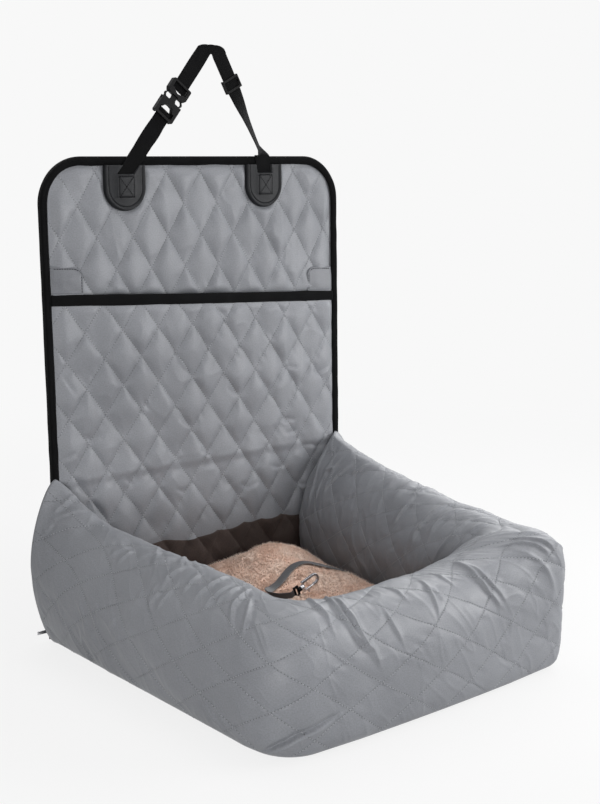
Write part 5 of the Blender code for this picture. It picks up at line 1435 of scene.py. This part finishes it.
# the bolster: one quilted tube round three sides of the bed, stuffed with fibre
bolster = {
    "thickness": 0.105,
    "endThickness": 0.078,
    "endTaper": 0.030,
    "innerBelly": 0.008,
    "corners": ((0.055, 0.002), (0.022, 0.009)),
    "innerRadius": 0.034,
    "innerFootPower": 4.2,
    "outerFootPower": 7.0,
    "stations": (236, 56, 126),
    "sides": 300,
    # how closely the columns stand round the section, from the foot outwards, up, over and down inside
    "density": ((0, 0.3), (0.08, 0.5), (0.12, 1.0), (0.55, 1.0), (0.64, 0.55), (0.90, 0.45), (1, 0.3)),
    "foot": 0.0006,
    "endLean": 0.0072,
    "footSwell": ((0, 0.004), (0.3, 0.006), (0.42, 0.013), (0.58, 0.012), (0.65, 0.006), (1, 0.004)),
    # from the tube's left end to its right end: place, height of the crest, how far the crest leans
    # outwards, roundness of the top, and how far the outer side swells
    "sections": (
        (0.00, 0.245, 0.023, 1.7, 0.029),
        (0.02, 0.224, 0.020, 1.8, 0.029),
        (0.06, 0.195, 0.012, 2.0, 0.029),
        (0.12, 0.183, 0.005, 2.2, 0.026),
        (0.25, 0.179, 0.002, 2.3, 0.020),
        (0.34, 0.174, 0.004, 2.5, 0.015),
        (0.39, 0.172, 0.004, 2.6, 0.013),
        (0.43, 0.168, 0.002, 2.7, 0.012),
        (0.50, 0.168, -0.002, 2.8, 0.011),
        (0.55, 0.168, -0.002, 2.8, 0.009),
        (0.60, 0.183, 0.004, 3.0, 0.006),
        (0.632, 0.204, 0.011, 3.4, 0.004),
        (0.67, 0.200, 0.008, 2.9, 0.009),
        (0.75, 0.204, 0.006, 2.5, 0.016),
        (0.83, 0.212, 0.006, 2.3, 0.020),
        (0.92, 0.226, 0.010, 2.1, 0.024),
        (0.98, 0.240, 0.014, 1.9, 0.026),
        (1.00, 0.246, 0.016, 1.8, 0.026),
    ),
}
# where the stuffing draws the stitch lattice off its straight lines: place on the cloth and how far
bolsterPulls = {
    "reach": 0.10,
    "places": (
        (-0.62, 0.05, 0.0184, -0.0112),
        (-0.62, 0.16, -0.0255, -0.0263),
        (-0.51, 0.05, 0.0183, -0.0062),
        (-0.51, 0.16, -0.0084, -0.0096),
        (-0.40, 0.05, 0.0225, -0.0068),
        (-0.40, 0.16, -0.0014, -0.0041),
        (-0.29, 0.05, 0.0011, -0.0186),
        (-0.29, 0.16, 0.0071, -0.0104),
        (-0.18, 0.05, -0.0042, -0.0122),
        (-0.18, 0.16, 0.0006, -0.0113),
        (-0.07, 0.05, -0.0115, -0.0006),
        (-0.07, 0.16, 0.0129, 0.0070),
        (0.04, 0.05, -0.0139, 0.0034),
        (0.04, 0.16, 0.0040, -0.0004),
        (0.15, 0.05, -0.0057, 0.0033),
        (0.15, 0.16, 0.0083, 0.0023),
        (0.24, 0.05, -0.0051, 0.0000),
        (0.24, 0.16, 0.0175, -0.0079),
    ),
}
# folds in the cover: height, half width, and the line of each along and around the bolster
bolsterFolds = (
    (0.0050, 0.0050, ((-0.723, 0.202), (-0.716, 0.220), (-0.716, 0.242))),
    (0.0040, 0.0045, ((-0.723, 0.190), (-0.705, 0.206), (-0.690, 0.222))),
    (0.0030, 0.0045, ((-0.730, 0.164), (-0.720, 0.179), (-0.716, 0.190))),
    (0.0026, 0.0050, ((-0.592, 0.170), (-0.582, 0.184), (-0.569, 0.197))),
    (0.0028, 0.0045, ((-0.569, 0.169), (-0.562, 0.183), (-0.555, 0.197))),
    (0.0028, 0.0050, ((-0.539, 0.186), (-0.526, 0.200), (-0.506, 0.217))),
    (0.0034, 0.0055, ((-0.509, 0.183), (-0.493, 0.200), (-0.473, 0.217))),
    (0.0038, 0.0055, ((-0.464, 0.164), (-0.464, 0.178), (-0.457, 0.192), (-0.447, 0.206))),
    (0.0030, 0.0045, ((-0.477, 0.133), (-0.470, 0.147), (-0.464, 0.161))),
    (0.0030, 0.0045, ((-0.460, 0.133), (-0.454, 0.147), (-0.447, 0.161), (-0.441, 0.175))),
    (0.0034, 0.0050, ((-0.425, 0.165), (-0.420, 0.185), (-0.410, 0.205))),
    (0.0036, 0.0050, ((-0.398, 0.159), (-0.395, 0.170), (-0.388, 0.184), (-0.375, 0.207), (-0.368, 0.230))),
    (0.0036, 0.0045, ((-0.375, 0.156), (-0.372, 0.167), (-0.365, 0.179), (-0.349, 0.205))),
    (0.0036, 0.0045, ((-0.358, 0.170), (-0.352, 0.182), (-0.342, 0.193), (-0.332, 0.220))),
    (0.0050, 0.0048, ((-0.316, 0.143), (-0.322, 0.159), (-0.326, 0.176), (-0.322, 0.191), (-0.316, 0.220))),
    (0.0050, 0.0045, ((-0.299, 0.145), (-0.296, 0.159), (-0.296, 0.171), (-0.303, 0.203))),
    (0.0024, 0.0040, ((-0.283, 0.164), (-0.272, 0.150), (-0.258, 0.127))),
    (0.0022, 0.0040, ((-0.274, 0.164), (-0.264, 0.150), (-0.256, 0.133))),
    (0.0026, 0.0045, ((-0.477, 0.164), (-0.480, 0.141), (-0.467, 0.121))),
    (0.0018, 0.0060, ((-0.500, 0.152), (-0.503, 0.136), (-0.506, 0.119))),
    (0.0016, 0.0045, ((-0.546, 0.077), (-0.542, 0.091), (-0.539, 0.103))),
    (0.0030, 0.0050, ((-0.368, 0.048), (-0.356, 0.030), (-0.335, 0.012))),
    (0.0032, 0.0045, ((-0.340, 0.045), (-0.330, 0.028), (-0.312, 0.012))),
    (-0.0085, 0.0045, ((-0.272, -0.006), (-0.245, 0.016), (-0.221, 0.030), (-0.194, 0.036), (-0.165, 0.044))),
    (0.0040, 0.0048, ((0.664, 0.329), (0.657, 0.309), (0.650, 0.290), (0.643, 0.272))),
    (0.0034, 0.0045, ((0.620, 0.285), (0.614, 0.270), (0.608, 0.252))),
    (0.0030, 0.0045, ((0.699, 0.308), (0.674, 0.292))),
    (0.0050, 0.0060, ((0.354, 0.339), (0.365, 0.322), (0.368, 0.306), (0.375, 0.273), (0.393, 0.234))),
    (0.0044, 0.0052, ((0.329, 0.319), (0.340, 0.301), (0.347, 0.281), (0.358, 0.248))),
    (0.0044, 0.0052, ((0.284, 0.356), (0.284, 0.333), (0.287, 0.309), (0.312, 0.265))),
    (0.0040, 0.0050, ((0.262, 0.345), (0.262, 0.320), (0.268, 0.296), (0.285, 0.262))),
    (0.0036, 0.0045, ((0.430, 0.320), (0.436, 0.296), (0.447, 0.270))),
    (0.0056, 0.0045, ((-0.177, 0.234), (-0.165, 0.193), (-0.154, 0.169), (-0.137, 0.140), (-0.122, 0.117))),
    (0.0060, 0.0050, ((-0.157, 0.208), (-0.148, 0.182), (-0.137, 0.159), (-0.126, 0.134), (-0.113, 0.108))),
    (0.0044, 0.0050, ((-0.215, 0.242), (-0.196, 0.202), (-0.180, 0.175), (-0.171, 0.148))),
    (0.0034, 0.0045, ((0.020, 0.190), (0.010, 0.161), (0.006, 0.145), (0.003, 0.127))),
    (0.0044, 0.0055, ((0.125, 0.215), (0.112, 0.182), (0.105, 0.162), (0.105, 0.140), (0.118, 0.115))),
    (0.0036, 0.0045, ((0.120, 0.190), (0.116, 0.166), (0.118, 0.148), (0.128, 0.118))),
    (0.0040, 0.0045, ((0.196, 0.215), (0.208, 0.206), (0.216, 0.190), (0.222, 0.165))),
    (0.0040, 0.0045, ((0.218, 0.225), (0.222, 0.208), (0.228, 0.190), (0.232, 0.168))),
    (0.0030, 0.0045, ((-0.137, 0.138), (-0.123, 0.126), (-0.109, 0.112), (-0.100, 0.088))),
    (0.0026, 0.0045, ((-0.080, 0.156), (-0.072, 0.131), (-0.064, 0.112))),
    (0.0026, 0.0050, ((-0.050, 0.200), (-0.040, 0.180), (-0.036, 0.160))),
    (0.0024, 0.0045, ((0.060, 0.200), (0.056, 0.180), (0.058, 0.160))),
)


def smoothed(values, width):
    # running mean with a bell-shaped window, the ends carried on straight
    window = np.hanning(2 * width + 3)[1:-1]
    window = window / window.sum()
    start = 2 * values[:1] - values[1 : width + 1][::-1]
    end = 2 * values[-1:] - values[-width - 1 : -1][::-1]
    return np.convolve(np.concatenate([start, values, end]), window, "valid")


def bolsterPlan():
    # floor lines of the outer and inner side: a leg, a quarter turn and half the front on each side
    b = bolster
    frontY, foldY = -bed["depth"] / 2, panel["foldY"]
    innerY = frontY + b["thickness"]
    legs, turns, fronts = b["stations"]
    sides = []
    for radius, spread in b["corners"]:
        legY = np.linspace(foldY, frontY + radius, legs, endpoint=False)
        toEnd = foldY - legY
        taper = np.clip(toEnd / b["endTaper"], 0, 1)
        taper = np.sqrt(taper * (2 - taper))
        depth = b["endThickness"] + (b["thickness"] - b["endThickness"]) * taper
        innerEnd = innerY + b["innerRadius"]
        innerLegY = foldY - toEnd * (foldY - innerEnd) / (foldY - frontY - radius)
        turn = np.radians(np.linspace(180, 270, turns, endpoint=False))
        outerFront = halfWidthAt(frontY) + spread
        innerFront = halfWidthAt(innerY) - b["thickness"]
        share = np.linspace(1, 0, fronts)
        legX = -halfWidthAt(legY) - 0.002 - (spread - 0.002) * (toEnd / bed["depth"]) ** 4
        outerLineX = [legX, -outerFront + radius * (1 + np.cos(turn)), -(outerFront - radius) * share]
        outerLineY = [legY, frontY + radius * (1 + np.sin(turn)), np.full(fronts, frontY)]
        innerLineX = [
            -(halfWidthAt(legY) - depth),
            -innerFront + b["innerRadius"] * (1 + np.cos(turn)),
            -(innerFront - b["innerRadius"]) * share,
        ]
        innerLineY = [innerLegY, innerY + b["innerRadius"] * (1 + np.sin(turn)), np.full(fronts, innerY)]
        sides.append([np.concatenate(k) for k in (outerLineX, outerLineY, innerLineX, innerLineY)])
    joined = []
    for k, (a, c) in enumerate(zip(*sides)):
        mirrored = -c if k in (0, 2) else c
        joined.append(smoothed(np.concatenate([a, mirrored[-2::-1]]), 10))
    return joined


def columnShares():
    # shares of the way round at which the columns stand, closer together where the density is higher
    fine = np.linspace(0, 1, 2001)
    weight = np.interp(fine, *zip(*bolster["density"]))
    total = np.concatenate([[0], np.cumsum((weight[1:] + weight[:-1]) / 2)])
    return np.interp(np.linspace(0, 1, bolster["sides"] + 1), total / total[-1], fine)


def bolsterSurface():
    # rings of a rounded section: half the bolster's depth to each side of its middle line,
    # swollen outwards at mid height, square at its foot and domed at its top
    b = bolster
    outerX, outerY, innerX, innerY = bolsterPlan()
    outer, inner = np.stack([outerX, outerY], -1), np.stack([innerX, innerY], -1)
    middle = (outer + inner) / 2
    steps = lengthsAlong(middle)
    share = steps / steps[-1]
    places, *tables = zip(*b["sections"])
    crest, lean, power, belly = (smoothed(np.interp(share, places, t), 8)[:, None] for t in tables)
    side = (outer - inner) / 2
    half = np.linalg.norm(side, axis=1)[:, None]
    side = side / half
    count = len(share)
    a = np.linspace(-math.pi / 2, 1.5 * math.pi, 961)[None, :]
    c, s = np.cos(a), np.sin(a)
    topPower = np.where(c > 0, power, power * (1 - 25 * lean))
    power = np.where(s > 0, topPower, np.where(c > 0, b["outerFootPower"], b["innerFootPower"]))
    across = np.sign(c) * np.abs(c) ** (2 / power)
    up = 0.5 + 0.5 * np.sign(s) * np.abs(s) ** (2 / power)
    bulge = np.sin(math.pi * np.clip(up, 0, 1))
    foot = np.interp(share, *zip(*b["footSwell"]))[:, None]
    swell = np.where(across > 0, belly, b["innerBelly"]) * bulge
    reach = across * half + np.sign(across) * swell
    reach = reach + np.where((c > 0) & (s < 0), foot * (1 - bulge), 0)
    reach = reach + lean * np.clip(2 * up - 1, 0, 1) ** 2
    x = middle[:, :1] + side[:, :1] * reach
    y = middle[:, 1:] + side[:, 1:] * reach
    z = b["foot"] + (crest - b["foot"]) * up
    z = np.maximum(z, np.where(reach > half - 0.010, b["foot"], bed["baseTop"] + 0.0002))
    end = np.minimum(np.arange(count), count - 1 - np.arange(count))
    nearEnd = np.clip(1 - end / 50, 0, 1)[:, None]
    slope = math.tan(math.radians(panel["leanDeg"]))
    y = y - ((panel["foldZ"] - z) * slope + b["endLean"]) * nearEnd
    points = np.stack([x, y, z], -1)
    spans = np.linalg.norm(np.diff(points, axis=1), axis=2)
    lengths = np.concatenate([np.zeros((count, 1)), np.cumsum(spans, axis=1)], 1)
    around = lengths[:, -1:] * columnShares()[None, :-1]
    rings = np.empty((*around.shape, 3))
    for row, column in np.ndindex(count, 3):
        rings[row, :, column] = np.interp(around[row], lengths[row], points[row, :, column])
    outerSteps = lengthsAlong(outer)
    frontMiddle = np.argmin(np.abs(outer[:, 0]) + 10 * (outer[:, 1] > 0))
    rise = around - lengths[:, 120:121]
    return rings, outerSteps - outerSteps[frontMiddle], rise, lengths[:, -1]


def gridNormals(points):
    ahead = np.gradient(points, axis=0)
    around = np.roll(points, -1, axis=1) - np.roll(points, 1, axis=1)
    normals = np.cross(around, ahead)
    normals = normals / np.maximum(np.linalg.norm(normals, axis=2, keepdims=True), 1e-9)
    outward = np.sum(normals * (points - points.mean(axis=1, keepdims=True)))
    return normals if outward > 0 else -normals


def latticePlace(along, rise):
    # the place in the straight stitch lattice of a place on the stuffed cloth
    movedAlong, movedRise = along + 0.0, rise + 0.0
    for a, r, da, dr in bolsterPulls["places"]:
        weight = np.exp(-((along - a) ** 2 + (rise - r) ** 2) / bolsterPulls["reach"] ** 2)
        movedAlong, movedRise = movedAlong + da * weight, movedRise + dr * weight
    return movedAlong, movedRise


def bolsterRelief(along, rise):
    look = bolsterQuilting
    straightAlong, straightRise = latticePlace(along, rise)
    relief = quiltRelief(straightAlong - look["startAlong"], straightRise - look["startRise"], look, 131)
    waves = 0.0019 * roughNoise(along / 0.12, rise / 0.10, 141, 2)
    patchy = smoothStep(0.1, 0.7, noise(along / 0.10, rise / 0.08 + 5, 145))
    slanted = along + 0.45 * rise
    creases = 0.0026 * patchy * crumple(slanted / 0.040, rise / 0.11, 151)
    creases = creases + 0.0007 * crumple(slanted / 0.022, rise / 0.05, 161)
    folds = 1.35 * foldRelief(along, rise, bolsterFolds, 0.74)
    return relief + waves + creases + folds - look["crown"] * 0.6


def addBolster():
    points, along, rise, perimeter = bolsterSurface()
    count = len(points)
    alongGrid = along[:, None] + 0 * rise
    ease = smoothStep(bed["baseTop"], bed["baseTop"] + 0.016, points[..., 2])
    end = np.minimum(np.arange(count), count - 1 - np.arange(count))[:, None]
    ease = ease * smoothStep(0, 8, end)
    normals = gridNormals(points)
    low = points[..., 2].copy()
    points = points + normals * (bolsterRelief(alongGrid, rise) * ease)[..., None]
    points[..., 2] = np.maximum(points[..., 2], np.minimum(low, bed["baseTop"] + 0.0002))
    addBolsterStitches(points, gridNormals(points), along, rise, perimeter)
    caps = []
    for row in (0, count - 1):
        centre = points[row].mean(axis=0)
        caps.append(np.stack([centre + (points[row] - centre) * s for s in (0.03, 0.35, 0.7, 0.93)]))
    rings = np.concatenate([caps[0], points, caps[1][::-1]])
    wrapped = np.concatenate([rise, rise[:, :1] + perimeter[:, None]], 1)
    u, v = latticePlace(along[:, None] + 0 * wrapped, wrapped)
    beyond = np.array([4, 3, 2, 1])[:, None] * 0.01
    u = np.concatenate([u[:1] - beyond, u, u[-1:] + beyond[::-1]])
    v = np.concatenate([v[:1] + 0 * beyond, v, v[-1:] + 0 * beyond])
    replaced = ["bolster_cover", "bolster_fill_left", "bolster_fill_front", "bolster_fill_right"]
    piece = addTube("bolster", rings, u, v, bolsterSatin, "bed", replaced)


def addBolsterStitches(points, normals, along, rise, perimeter):
    # stitch ends are laid out on the straight lattice, carried back to the stuffed cloth,
    # and read off the finished surface there
    def place(at):
        a, r = at[:, 0], at[:, 1]
        for _ in range(12):
            movedAlong, movedRise = latticePlace(a, r)
            a, r = a + 0.8 * (at[:, 0] - movedAlong), r + 0.8 * (at[:, 1] - movedRise)
        row = np.interp(a, along, np.arange(len(along)))
        r0 = np.clip(row.astype(int), 0, len(along) - 2)
        t = (row - r0)[:, None]
        share = (r - np.interp(a, along, rise[:, 0])) / np.interp(a, along, perimeter)
        column = np.interp(share, columnShares(), np.arange(points.shape[1] + 1), left=-1)
        keep = (column > 0) & (column < points.shape[1] - 2) & (a > along[3]) & (a < along[-4])
        c0 = np.clip(column.astype(int), 0, points.shape[1] - 2)
        w = (column - c0)[:, None]
        found = []
        for grid in (points, normals):
            low = grid[r0, c0] * (1 - w) + grid[r0, c0 + 1] * w
            high = grid[r0 + 1, c0] * (1 - w) + grid[r0 + 1, c0 + 1] * w
            found.append(low * (1 - t) + high * t)
        return found[0], found[1], keep

    starts, ends = stitchParameters(bolsterQuilting, (along[0] - 0.04, along[-1] + 0.04), (-0.02, 0.50))
    a, normal, keepA = place(starts)
    c, _, keepC = place(ends)
    length = np.linalg.norm(c - a, axis=1)
    keep = keepA & keepC & (a[:, 2] > bed["baseTop"] + 0.004) & (length > 0.0012) & (length < 0.006)
    a, c, normal = a[keep], c[keep], normal[keep]
    radius = stitching["radius"]
    a, c = a + normal * radius * 0.4, c + normal * radius * 0.4
    addStitches("bolsterStitches", a, c, normal, radius, greyThread, "bed", "grey_quilt")


addBolster()
print("bolster made")

# the cushion: a plush cover over a fibre pad, in folds under the tether
cushion = {
    "frontY": -0.1340,
    "backY": 0.2265,
    "frontHalf": 0.1310,
    "backHalf": 0.1585,
    "edge": 0.060,
    "crown": 0.088,
    "drawIn": 0.010,
    "hump": 0.027,
    "humpX": 0.020,
    "humpY": 0.120,
    "humpRadius": 0.085,
    "tufts": 49500,
    "tuftLength": 0.0075,
    "tuftRadius": 0.00055,
}


def cushionGrids():
    k = cushion
    shares = np.linspace(-1, 1, 200)
    shares = np.sign(shares) * (1 - (1 - np.abs(shares)) ** 1.3)
    u, v = shares[None, :], shares[:, None]
    y = (k["frontY"] + k["backY"]) / 2 + v * ((k["backY"] - k["frontY"]) / 2 - k["drawIn"] * (1 - u**2))
    half = k["frontHalf"] + (k["backHalf"] - k["frontHalf"]) * (v + 1) / 2
    x = u * (half - k["drawIn"] * (1 - v**2))
    fall = np.clip((1 - np.abs(u) ** 3) * (1 - np.abs(v) ** 3), 0, 1)
    toHump = np.hypot(x - k["humpX"], y - k["humpY"]) / k["humpRadius"]
    rise = k["crown"] - k["edge"] / 2 + k["hump"] * np.exp(-(toHump**2))
    top = bed["floor"] + k["edge"] / 2 + 0.002 + rise * fall**0.5
    folds = 0.005 * roughNoise(x / 0.085, y / 0.07, 171, 2) - 0.007 * crumple(x / 0.13, y / 0.09, 181)
    top = top + (folds - 0.003) * smoothStep(0.05, 0.5, fall)
    bottom = bed["floor"] + k["edge"] / 2 - 0.002 - (k["edge"] / 2 - 0.003) * fall**0.175
    # the plush rises to carry the tether: within 2 cm of its route the top comes up to just under it
    onTop = tetherRoute[(tetherRoute[:, 2] > 0.098)]
    gap = np.hypot(x[..., None] - onTop[:, 0], y[..., None] - onTop[:, 1])
    nearest = gap.argmin(-1)
    distance = gap.min(-1)
    under = onTop[nearest, 2] - 0.0032
    top = top + (under - top) * np.exp(-((distance / 0.017) ** 2))
    return x, y, top, bottom


def addCushion():
    x, y, top, bottom = cushionGrids()
    front, back = np.stack([x, y, top], -1), np.stack([x, y, bottom], -1)
    replaced = ["cushion_cover", "cushion_fill"]
    piece = addSlab("plushCushion", front, back, y, x, plush, "bed", "pink_plush", replaced)
    addPile(front)


def addPile(top):
    # pile: small leaning cones on the cushion's top, in clumps that share a direction
    k = cushion
    random = np.random.default_rng(191)
    rows, columns = top.shape[:2]
    i, j = random.uniform(2, rows - 3, k["tufts"]), random.uniform(2, columns - 3, k["tufts"])
    i0, j0 = i.astype(int), j.astype(int)
    s, t = (i - i0)[:, None], (j - j0)[:, None]
    low = top[i0, j0] * (1 - t) + top[i0, j0 + 1] * t
    high = top[i0 + 1, j0] * (1 - t) + top[i0 + 1, j0 + 1] * t
    root = low * (1 - s) + high * s
    normals = np.cross(top[i0, j0 + 1] - top[i0, j0], top[i0 + 1, j0] - top[i0, j0])
    normals = normals / np.linalg.norm(normals, axis=1, keepdims=True)
    angle = 2.5 * math.pi * roughNoise(root[:, 0] / 0.022, root[:, 1] / 0.022, 192, 2)
    lean = np.stack([np.cos(angle), np.sin(angle), np.zeros(len(angle))], -1)
    lean = lean + random.normal(0, 0.45, lean.shape) * (1, 1, 0.3)
    direction = normals + 1.15 * lean
    direction = direction / np.linalg.norm(direction, axis=1, keepdims=True)
    length = k["tuftLength"] * random.uniform(0.6, 1.15, len(root))[:, None]
    near = np.abs(root[:, None, :2] - tetherRoute[None, ::6, :2])
    crushed = np.hypot(near[..., 0], near[..., 1]).min(1) < 0.0075
    length = np.where(crushed[:, None], length * 0.25, length)
    side = np.cross(direction, normals + 0.01)
    side = side / np.linalg.norm(side, axis=1, keepdims=True)
    other = np.cross(direction, side)
    radius = k["tuftRadius"] * random.uniform(0.7, 1.3, len(root))[:, None]
    base = root - normals * 0.0006
    corners = [base + radius * (side * math.cos(a) + other * math.sin(a)) for a in (0, 2.094, 4.189)]
    tip = root + direction * length - normals * length * 0.12
    points = np.stack([*corners, tip], 1).reshape(-1, 3)
    first = np.arange(len(root))[:, None] * 4
    faces = np.concatenate([first + np.array(f) for f in ((0, 1, 3), (1, 2, 3), (2, 0, 3), (0, 2, 1))])
    addPiece("cushionPile", points, faces, points[faces][..., :2], plush, "bed")


addCushion()
print("cushion made")

# plain pale floor and a soft studio: a key low at the right front, a low fill at the left, four broad
# lamps around and above, and an even sky; the floor glows white to the camera, a little less near the seat
studio = {
    "floor": "#f4f4f4",
    "seen": 0.939,
    "bounce": "#a8a8a8",
    "sky": 0.26,
    "nearGlow": 0.88,
    "fadeStart": 0.45,
    "fadeEnd": 1.8,
    "lamps": (
        ("key", (1.05, -0.85, 0.58), 0.7, 13.2),
        ("front", (-0.75, -2.4, 0.85), 1.2, 4.0),
        ("left", (-1.15, -1.00, 0.22), 0.7, 10.5),
        ("top", (0.5, -0.3, 2.2), 1.2, 14.0),
        ("behind", (0.0, 0.9, 2.0), 1.2, 9.5),
        ("right", (1.5, 0.5, 1.1), 1.0, 12.5),
    ),
}


def seenShare(tree):
    # one for what the camera sees, also in a reflection or through glass: the studio is white there
    path = addNode(tree, "ShaderNodeLightPath").outputs
    either = {"operation": "ADD", "use_clamp": True}
    sources = {0: path["Is Glossy Ray"], 1: path["Is Transmission Ray"]}
    mirrored = addNode(tree, "ShaderNodeMath", either, sources)
    sources = {0: path["Is Camera Ray"], 1: mirrored.outputs[0]}
    return addNode(tree, "ShaderNodeMath", either, sources).outputs[0]


def addStudio():
    world = bpy.data.worlds.new("studio")
    bpy.context.scene.world = world
    world.use_nodes = True
    tree = world.node_tree
    tree.nodes.clear()
    light = addNode(tree, "ShaderNodeBackground", {"Color": (1, 1, 1, 1), "Strength": studio["sky"]})
    seen = addNode(tree, "ShaderNodeBackground", {"Color": (1, 1, 1, 1), "Strength": studio["seen"]})
    sources = {0: seenShare(tree), 1: light.outputs[0], 2: seen.outputs[0]}
    mix = addNode(tree, "ShaderNodeMixShader", {}, sources)
    addNode(tree, "ShaderNodeOutputWorld", {}, {"Surface": mix.outputs[0]})
    reach = 8.0
    mesh = bpy.data.meshes.new("studioFloor")
    corners = [(-reach, -reach, 0), (reach, -reach, 0), (reach, reach, 0), (-reach, reach, 0)]
    mesh.from_pydata(corners, [], [(0, 1, 2, 3)])
    floor = bpy.data.objects.new("studioFloor", mesh)
    bpy.context.scene.collection.objects.link(floor)
    floor.location.z = -0.0004
    material, tree, shader = startMaterial("paleStudioPaint", 0.9)
    colours = {"data_type": "RGBA", 6: toLinear(studio["bounce"]), 7: toLinear(studio["floor"])}
    paint = addNode(tree, "ShaderNodeMix", colours, {0: seenShare(tree)})
    tree.links.new(paint.outputs[2], shader.inputs["Base Color"])
    glow = addNode(tree, "ShaderNodeEmission", {"Color": (1, 1, 1, 1), "Strength": studio["seen"]})
    space = addNode(tree, "ShaderNodeTexCoord").outputs["Object"]
    away = addNode(tree, "ShaderNodeVectorMath", {"operation": "LENGTH"}, {0: space})
    limits = {"From Min": studio["fadeStart"], "From Max": studio["fadeEnd"], "To Min": studio["nearGlow"]}
    limits["interpolation_type"] = "SMOOTHSTEP"
    fade = addNode(tree, "ShaderNodeMapRange", limits, {"Value": away.outputs["Value"]})
    sources = {0: seenShare(tree), 1: fade.outputs["Result"]}
    share = addNode(tree, "ShaderNodeMath", {"operation": "MULTIPLY"}, sources)
    sources = {0: share.outputs[0], 1: shader.outputs[0], 2: glow.outputs[0]}
    mix = addNode(tree, "ShaderNodeMixShader", {}, sources)
    tree.links.new(mix.outputs[0], tree.nodes["Material Output"].inputs["Surface"])
    mesh.materials.append(material)
    for name, place, size, power in studio["lamps"]:
        data = bpy.data.lights.new(name, "AREA")
        data.size = size
        data.energy = power
        lamp = bpy.data.objects.new(name, data)
        bpy.context.scene.collection.objects.link(lamp)
        lamp.location = place
        lamp.rotation_mode = "QUATERNION"
        lamp.rotation_quaternion = (Vector((0, 0, 0.25)) - Vector(place)).to_track_quat("-Z", "Y")


addStudio()
bpy.context.scene.view_settings.view_transform = "Standard"
